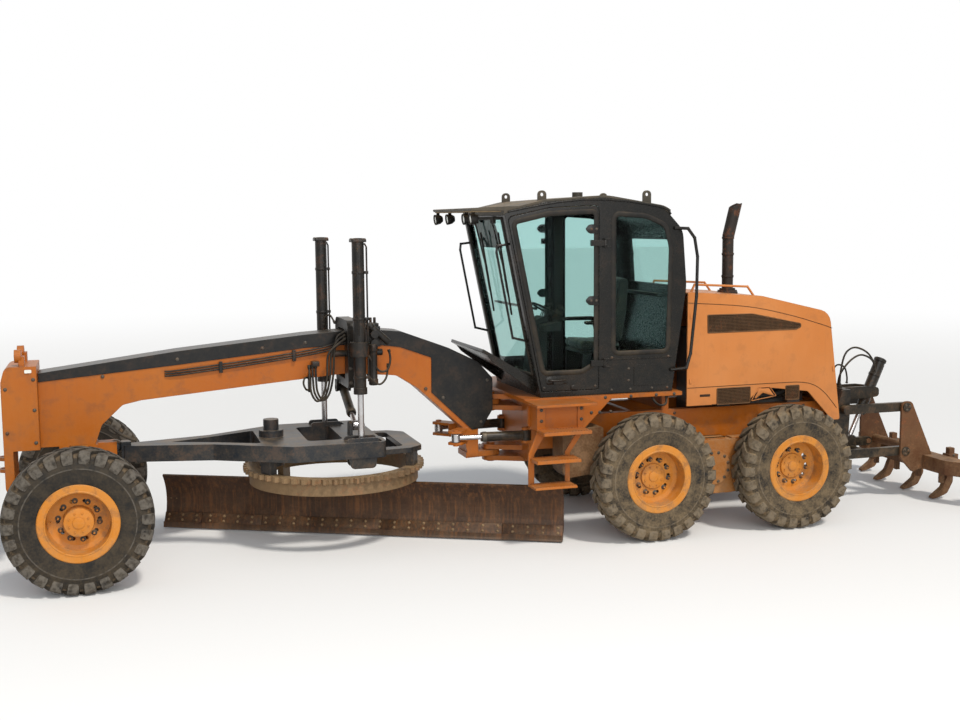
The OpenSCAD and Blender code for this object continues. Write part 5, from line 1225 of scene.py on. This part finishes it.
@register_step("Saddle and Front Frame",
               "Hoses, lock and valve bodies, pipes, glands, cover bolts and lamps")
def front_trim(scene):
    bm = bmesh.new()
    for shift in (0, 1, 2):
        dx, dy, dz = 34 * shift, 26 * shift, -30 * shift
        hose(bm, [(3712, 250 + dy, 2111 + dz), (3790, 255 + dy, 2060 + dz), (3822 + dx, 262 + dy, 1900),
                  (3838 + dx, 266 + dy, 1690),
                  (3876 + dx, 262 + dy, 1520), (3936 + dx, 256 + dy, 1452), (3990 + dx, 250 + dy, 1530),
                  (4002 + dx, 240 + dy, 1660),
                  (4000 + dx, 216 + dy * 0.5, 1800)])
    hose(bm, [(3520, 345, 1925), (3468, 372, 1820), (3400, 376, 1730), (3320, 362, 1735),
              (3282, 335, 1830), (3290, 310, 1930)])
    hose(bm, [(3510, 330, 1700), (3470, 380, 1640), (3400, 384, 1600), (3330, 356, 1660),
              (3300, 310, 1790)], 0.010)
    hose(bm, [(3560, 338, 2150), (3600, 400, 2230), (3640, 470, 2210), (3640, 500, 2130)], 0.010)
    hose(bm, [(3700, -338, 2150), (3740, -400, 2230), (3790, -430, 2200), (3800, -440, 2120)], 0.010)
    hose(bm, [(4054, 196, 1560), (4096, 230, 1560), (4124, 236, 1620), (4106, 218, 1672),
              (4060, 190, 1668)], 0.010)
    for y in (70, 100, 130):
        hose(bm, [(6010, y, 1330), (5940, y + 10, 1290), (5850, y + 14, 1214), (5762, y, 1160),
                  (5700, y - 6, 1140)], 0.012)
    make_piece(bm, "saddle_hoses", "front_body", MATERIALS["hose_rubber"], angle=60)
    bm = bmesh.new()
    tube(bm, [at(3482, 346, 2172), at(3296, 346, 2002)], 0.034, 16)
    tube(bm, [at(3492, 346, 2181), at(3462, 346, 2154)], 0.040, 16)
    lathe(bm, at(3455, 346, 1590), (0, 0, 1), [(0, 0), (0.040, 0), (0.046, 0.012), (0.046, 0.06),
                                               (0.040, 0.064), (0.040, 0.33),
                                               (0.048, 0.334), (0.048, 0.40), (0.030, 0.404),
                                               (0.024, 0.44), (0, 0.44)], 20)
    block(bm, (3968, 158, 1786), (4036, 262, 1832))
    block(bm, (4040, 158, 1530), (4072, 204, 1690))
    # Square plates and bands on both lift barrels, with a pipe along each.
    for x, y in LIFT_BARRELS:
        s = 1 if y > 0 else -1
        slab(bm, rounded([(x - 72, y - 72, 16), (x + 72, y - 72, 16), (x + 72, y + 72, 16),
                          (x - 72, y + 72, 16)], 3), "z", 2986, 3012)
        lathe(bm, at(x, y, 3012), (0, 0, 1), [(0, 0), (0.046, 0), (0.044, 0.012), (0, 0.014)], 20)
        for z in (1700, 2260, 2700):
            lathe(bm, at(x, y, z), (0, 0, 1), [(0.0585, -0.014), (0.063, -0.014), (0.063, 0.014),
                                               (0.0585, 0.014)], 28, closed=True)
            block(bm, (x - 92, y + s * 10, z - 14), (x - 56, y + s * 30, z + 14))
        tube(bm, [at(x - 78, y + s * 20, 1660), at(x - 78, y + s * 20, 2940),
                  at(x - 60, y + s * 16, 2975)], 0.009, 8)
        tube(bm, [at(x + 20, y + s * 74, 2110), at(x + 20, y + s * 74, 2900),
                  at(x + 16, y + s * 50, 2930)], 0.008, 8)
    block(bm, (3382, 158, 2160), (3560, 290, 2190))
    for x in (3410, 3450, 3490, 3530):
        lathe(bm, at(x, 225, 2190), (0, 0, 1), [(0, 0), (0.014, 0), (0.014, 0.05), (0.008, 0.055),
                                                (0, 0.055)], 12)
    make_piece(bm, "saddle_fittings", "front_body", MATERIALS["dark_paint"], 0.002)
    bm = bmesh.new()
    for k, y in enumerate((214, 240, 266)):
        tube(bm, smooth_path([at(3700, y, 2046 - 20 * k), at(3760, y - 40, 2030 - 20 * k),
                              at(3900, 172 + 4 * k, 1965 - 22 * k),
                              at(4500, 172, 1880 - 22 * k), at(5250, 172, 1800 - 22 * k),
                              at(5420, 160, 1790 - 22 * k)], 4), 0.008, 8)
    for x, z in ((4200, 1905), (4900, 1822)):
        block(bm, (x - 16, 151, z - 66), (x + 16, 186, z + 40))
    make_piece(bm, "front_pipes", "front_body", MATERIALS["dark_paint"])
    places = []
    for s in (1, -1):
        places += [(at(x, s * FRAME_SIDE, z), (0, s, 0)) for x, z in ((5980, 1766), (5300, 1900),
                (4500, 1975), (4085, 2012),
                                                               (3700, 2040), (2880, 1500), (2700, 1400),
                                                               (2300, 1130), (2230, 1560))]
        places += [(at(x, s * NOSE_SIDE, z), (0, s, 0)) for x, z in ((6580, 1200), (6580, 1500),
                (6580, 1780), (6820, 1700), (6820, 1300))]
        places += [(at(3640 + dx, s * SADDLE_SIDE, z), (0, s, 0)) for dx in (-35, 35) for z in (1620, 1760)]
    for x, y in LIFT_BARRELS:
        places += [(at(x + dx, y + dy, 3012), (0, 0, 1)) for dx in (-54, 54) for dy in (-54, 54)]
    spread_parts("front_bolts", "front_body", MATERIALS["fitting_steel"], places, 0.012)
    bm = bmesh.new()
    for s in (1, -1):
        lathe(bm, at(6734, s * 200, 1990), (1, 0, 0), [(0, 0.006), (0.030, 0.005), (0.050, 0.001),
                                                       (0.052, -0.006), (0, -0.006)], 24)
        slab(bm, rounded([(6590, 1842, 8), (6650, 1842, 8), (6650, 1872, 8), (6590, 1872, 8)]), "y",
             s * 279, s * 292)
    make_piece(bm, "head_lamp_glass", "front_body", MATERIALS["lamp_glass"])
    glands = (("shift_barrel", (3640, -300, 1500), (0, 630, -300), 0.480, 0.046),
              ("swing_barrel_left", (1900, 400, 1010), (720, -70, 0), 0.446, 0.050),
              ("swing_barrel_right", (1900, -400, 1010), (720, 70, 0), 0.446, 0.050))
    for body, foot, along, reach, r in glands:
        run = Vector(along).normalized()
        bm = bmesh.new()
        lathe(bm, at(*foot) + run * reach, run, [(r - 0.003, -0.034), (r + 0.003, -0.034),
                                                 (r + 0.003, 0.0), (r - 0.006, 0.016),
                                                 (r - 0.014, 0.018), (r - 0.014, -0.034)], 24, closed=True)
        make_piece(bm, body + "_gland", body, MATERIALS["fitting_steel"], 0.001)


@register_step("Wheel Nuts and Hubs",
               "Nuts, studs, lock rings and valve stems of every wheel, covers and plugs of the tandems")
def wheel_trim(scene):
    for axle, x in AXLES.items():
        for side, s in SIDES.items():
            body = "wheel_%s_%s" % (axle, side)
            plate = -12 if axle == "front" else -14
            hub = 107 if axle == "front" else 15
            centre = Vector((x - MID_X, s * (WHEEL_Y + plate / 1000), HUB_Z))
            cap = Vector((x - MID_X, s * (WHEEL_Y + hub / 1000), HUB_Z))
            axis = Vector((0, s, 0))
            places = ring_places(centre, NUT_CIRCLE, axis, 10)
            spread_parts("wheel_nuts_%s_%s" % (axle, side), body, MATERIALS["fitting_steel"],
                         places, 0.0175)
            bm = bmesh.new()
            for spot, way in places:
                tube(bm, [spot + way * 0.010, spot + way * 0.030], 0.009, 8)
            lathe(bm, cap, axis, [(0.052, 0.0), (0.052, 0.006), (0.040, 0.010), (0.0, 0.010)], 24)
            for spot, way in ring_places(cap - axis * 0.004, 0.085 if axle == "front" else 0.095, axis, 8,
                                         0.5):
                tube(bm, [spot - way * 0.01, spot + way * 0.007], 0.009, 6)
            flange = Vector((x - MID_X, s * WHEEL_Y, HUB_Z)) + axis * 0.150
            lathe(bm, flange, axis, [(0.268, 0.0), (0.276, -0.012), (0.286, -0.012), (0.290, 0.004),
                                     (0.282, 0.010), (0.272, 0.008)], 64,
                  closed=True)
            stem = Vector((x - MID_X + 0.232, s * (WHEEL_Y - 0.004), HUB_Z))
            bend = stem + axis * 0.05 + Vector((0.012, 0, 0))
            tip = stem + axis * 0.085 + Vector((0.02, 0, 0))
            tube(bm, [stem, bend, tip], 0.006, 8)
            make_piece(bm, "hub_parts_%s_%s" % (axle, side), body, MATERIALS["rim_paint"],
                       angle=30)
    for side, s in SIDES.items():
        body = "tandem_" + side
        places = ring_places(at(0, s * (TANDEM_FACE + 25), 635), 0.155, (0, s, 0), 12)
        for x in (-1, 1):
            places += ring_places(at(x * 420, s * (TANDEM_FACE + 6), 640), 0.062, (0, s, 0), 6)
        spread_parts("tandem_bolts_" + side, body, MATERIALS["fitting_steel"], places,
                     0.012)
        bm = bmesh.new()
        for x in (-1, 1):
            lathe(bm, at(x * 420, s * (TANDEM_FACE - 2), 640), (0, s, 0),
                  [(0, 0.008), (0.078, 0.008), (0.080, 0.0), (0.080, -0.01)], 32)
            lathe(bm, at(x * 250, s * (TANDEM_FACE - 1), 470), (0, s, 0),
                  [(0, 0.012), (0.022, 0.012), (0.024, 0.0)], 12)
            block(bm, (x * 300 - 80, s * 745 - 60, 912), (x * 300 + 80, s * 745 + 60, 926))
        slab(bm, rounded([(-180, 905, 20), (180, 905, 20), (150, 935, 10), (-150, 935, 10)]), "y", s * 690,
             s * 800)
        make_piece(bm, "tandem_covers_" + side, body, MATERIALS["tandem_paint"], 0.003)


def on_circle(x, y, z):
    """A point given along and across the blade, about the circle's middle."""
    turn = math.radians(BLADE_TURN)
    return at(CIRCLE_X + x * math.cos(turn) - y * math.sin(turn), x * math.sin(turn) + y * math.cos(turn),
              z)


@register_step("Blade Edge", "Cutting edge with its bolt rows, end bits and the scraped strip behind them")
def blade_trim(scene):
    bm = bmesh.new()
    ends = [(-2287, -1680), (-1676, -420), (-416, 840), (844, 1500), (1504, 1909)]
    for a, b in ends:
        rows = [(-121, 12), (-192, 162), (-204, 158), (-133, 10)]
        ring = [[bm.verts.new(on_circle(x, y, z)) for y, z in rows] for x in (a, b)]
        for k in range(4):
            j = (k + 1) % 4
            bm.faces.new((ring[0][k], ring[0][j], ring[1][j], ring[1][k]))
        bm.faces.new(ring[0])
        bm.faces.new(ring[1])
    make_piece(bm, "cutting_edge", "moldboard", MATERIALS["blade_steel"], 0.0015)
    turn = math.radians(BLADE_TURN)
    out = Vector((-math.sin(turn) * 0.89, math.cos(turn) * 0.89, 0.454)).normalized()
    places = [(on_circle(x, -158, 90), out) for x in range(-2240, 1900, 152)]
    places += [(on_circle(x, -181, 138), out) for x in range(-2240, 1900, 152)]
    places += [(on_circle(x, -236, z), out) for x in (1860, 1800) for z in (230, 300, 370, 440)]
    spread_parts("blade_bolts", "moldboard", MATERIALS["circle_steel"], places, 0.010)


@register_step("Ripper and Rear", "Pins, cylinder collar, hose arches, shank tips and clamps")
def ripper_trim(scene):
    run = Vector(RIPPER_BARREL_RUN).normalized()
    top = at(*RIPPER_BARREL_TOP)
    bm = bmesh.new()
    lathe(bm, top, run, [(0, -0.404), (0.050, -0.404), (0.070, -0.394), (0.072, -0.362), (0.064, -0.358),
                         (0.063, -0.36)], 28)
    lathe(bm, top, run, [(0.0625, 0.225), (0.070, 0.225), (0.072, 0.262), (0.060, 0.280), (0.034, 0.282),
                         (0.034, 0.268),
                         (0.0625, 0.262)], 28, closed=True)
    lathe(bm, top, run, [(0.0625, -0.210), (0.067, -0.210), (0.067, -0.180), (0.0625, -0.180)], 28,
          closed=True)
    lathe(bm, top, run, [(0.0625, 0.095), (0.066, 0.095), (0.066, 0.125), (0.0625, 0.125)], 28, closed=True)
    side = top + Vector((-0.070, 0.0, -0.02))
    tube(bm, [side + run * -0.33, side + run * 0.22], 0.008, 8)
    make_piece(bm, "ripper_collars", "ripper_barrel", MATERIALS["dark_paint"], 0.001)
    bm = bmesh.new()
    hose(bm, [(-1972, 104, 1280), (-1975, 112, 1450), (-2020, 116, 1640), (-2110, 118, 1715),
              (-2220, 112, 1706),
              (-2340, 104, 1640), (-2430, 92, 1530)])
    hose(bm, [(-1972, 64, 1280), (-1985, 90, 1420), (-2090, 104, 1560), (-2220, 108, 1630),
              (-2340, 110, 1600),
              (-2410, 112, 1530), (-2425, 112, 1440)])
    hose(bm, [(-1972, -80, 1280), (-1985, -90, 1400), (-2060, -92, 1500), (-2160, -92, 1470),
              (-2200, -96, 1360), (-2200, -98, 1282)], 0.010)
    make_piece(bm, "ripper_hoses", "rear_body", MATERIALS["hose_rubber"], angle=60)
    bm = bmesh.new()
    for s in (1, -1):
        for z in RIPPER_PIN_HEIGHTS:
            lathe(bm, at(-1900, s * 370, z), (0, s, 0), [(0, 0.014), (0.052, 0.014), (0.054, 0.0),
                                                         (0.054, -0.002)], 20)
    block(bm, (-1995, 40, 1268), (-1955, 124, 1290))
    block(bm, (-1995, -110, 1268), (-1955, -50, 1290))
    make_piece(bm, "ripper_mount_caps", "rear_body", MATERIALS["dark_paint"], 0.002)
    bm = bmesh.new()
    places = []
    for s in (1, -1):
        for z in RIPPER_PIN_HEIGHTS:
            lathe(bm, at(-2660, s * 395, z), (0, s, 0), [(0, 0.016), (0.050, 0.016), (0.052, 0.0),
                                                         (0.052, -0.002)], 20)
            places += ring_places(at(-2660, s * 411, z), 0.030, (0, s, 0), 3)
    for k in range(-2, 3):
        y = 520 * k
        x = -3110 - (200 * (abs(y) - 780) / 340 if abs(y) > 780 else 0)
        for s in (1, -1):
            places += [(at(x - 60, y + s * 57, z), (0, s, 0)) for z in (430, 500)]
    make_piece(bm, "ripper_pin_caps", "ripper_beam", MATERIALS["dark_paint"], 0.002)
    spread_parts("ripper_bolts", "ripper_beam", MATERIALS["fitting_steel"], places, 0.011)


@register_step("Steps, Deck and Engine",
               "Tread edges, bracket bolts, a hose at the deck, pipes and filters of the engine")
def body_trim(scene):
    bm = bmesh.new()
    for s in (1, -1):
        for x0, x1, z in ((1505, 1985, 1165), (1615, 2055, 895), (1655, 2075, 636)):
            for k in range(int((x1 - x0) / 30)):
                x = x0 + 12 + 30 * k
                for y in (s * 1182, s * 1010):
                    block(bm, (x - 7, y - 5, z - 1), (x + 7, y + 5, z + 6))
    make_piece(bm, "step_teeth", "rear_body", MATERIALS["frame_paint"])
    places = []
    for s in (1, -1):
        places += [(at(x, s * 987, z), (0, s, 0)) for x in (1530, 1945) for z in (1392, 1352, 1245)]
        places += [(at(x, s * 760, z), (0, s, 0)) for x in (420, 620, 900, 1180) for z in (1408,)]
        places += [(at(x, s * 760, 1262), (0, s, 0)) for x in (1120, 1240, 1330)]
        places += [(at(x, s * 430, z), (0, s, 0)) for x in (-1540, -1300, 250, 500) for z in (1150, 960)]
    spread_parts("deck_bolts", "rear_body", MATERIALS["fitting_steel"], places, 0.012)
    bm = bmesh.new()
    for s in (1, -1):
        hose(bm, [(640, s * 700, 1392), (632, s * 742, 1340), (575, s * 752, 1298), (508, s * 748, 1310),
                  (478, s * 706, 1386)], 0.012)
        for z, y in ((1240, 352), (1300, 346)):
            hose(bm, [(-180, s * 336, z + 20), (-260, s * y, z), (-600, s * (y + 6), z - 8),
                      (-1000, s * y, z + 6), (-1150, s * 336, z + 40)], 0.014)
    make_piece(bm, "body_hoses", "rear_body", MATERIALS["hose_rubber"], angle=60)
    bm = bmesh.new()
    for s in (1, -1):
        for x in (-560, -700):
            lathe(bm, at(x, s * 420, 1252), (0, 0, 1), [(0, 0), (0.044, 0.0), (0.052, 0.012),
                                                        (0.052, 0.20), (0.060, 0.205), (0.060, 0.25),
                                                       (0, 0.252)], 24)
        block(bm, (-780, s * 380 - 44, 1496), (-490, s * 380 + 44, 1530))
        for k in range(6):
            x = -1230 + 190 * k
            slab(bm, rounded([(x, 1560, 10), (x + 130, 1560, 10), (x + 130, 1900, 20), (x, 1900, 20)]),
                 "y", s * 329, s * 352)
        tube(bm, [at(-1290, s * 372, 1780), at(-180, s * 372, 1780)], 0.034, 14)
    make_piece(bm, "engine_parts", "rear_body", MATERIALS["engine_iron"], 0.004)


class GRADER_PT_panel(bpy.types.Panel):
    """Lists the settings and the steps."""
    bl_label = "Motor Grader"
    bl_idname = "GRADER_PT_panel"
    bl_space_type = "VIEW_3D"
    bl_region_type = "UI"
    bl_category = "Motor Grader"

    def draw(self, context):
        for group in (context.scene.grader_colours, context.scene.grader_tread):
            box = self.layout.box()
            for key in group.bl_rna.properties.keys():
                if key not in ("rna_type", "name"):
                    box.prop(group, key)
        for step in PIECES:
            self.layout.operator(step.bl_idname)


CLASSES = [GraderColours, GraderTread, GRADER_PT_panel]


def register():
    for cls in CLASSES + PIECES:
        bpy.utils.register_class(cls)
    bpy.types.Scene.grader_colours = bpy.props.PointerProperty(type=GraderColours)
    bpy.types.Scene.grader_tread = bpy.props.PointerProperty(type=GraderTread)


def unregister():
    del bpy.types.Scene.grader_tread
    del bpy.types.Scene.grader_colours
    for cls in reversed(CLASSES + PIECES):
        bpy.utils.unregister_class(cls)


def main():
    register()
    for step in PIECES:
        getattr(bpy.ops.grader, step.bl_idname.split(".")[1])()
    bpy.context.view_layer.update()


if __name__ == "__main__":
    main()
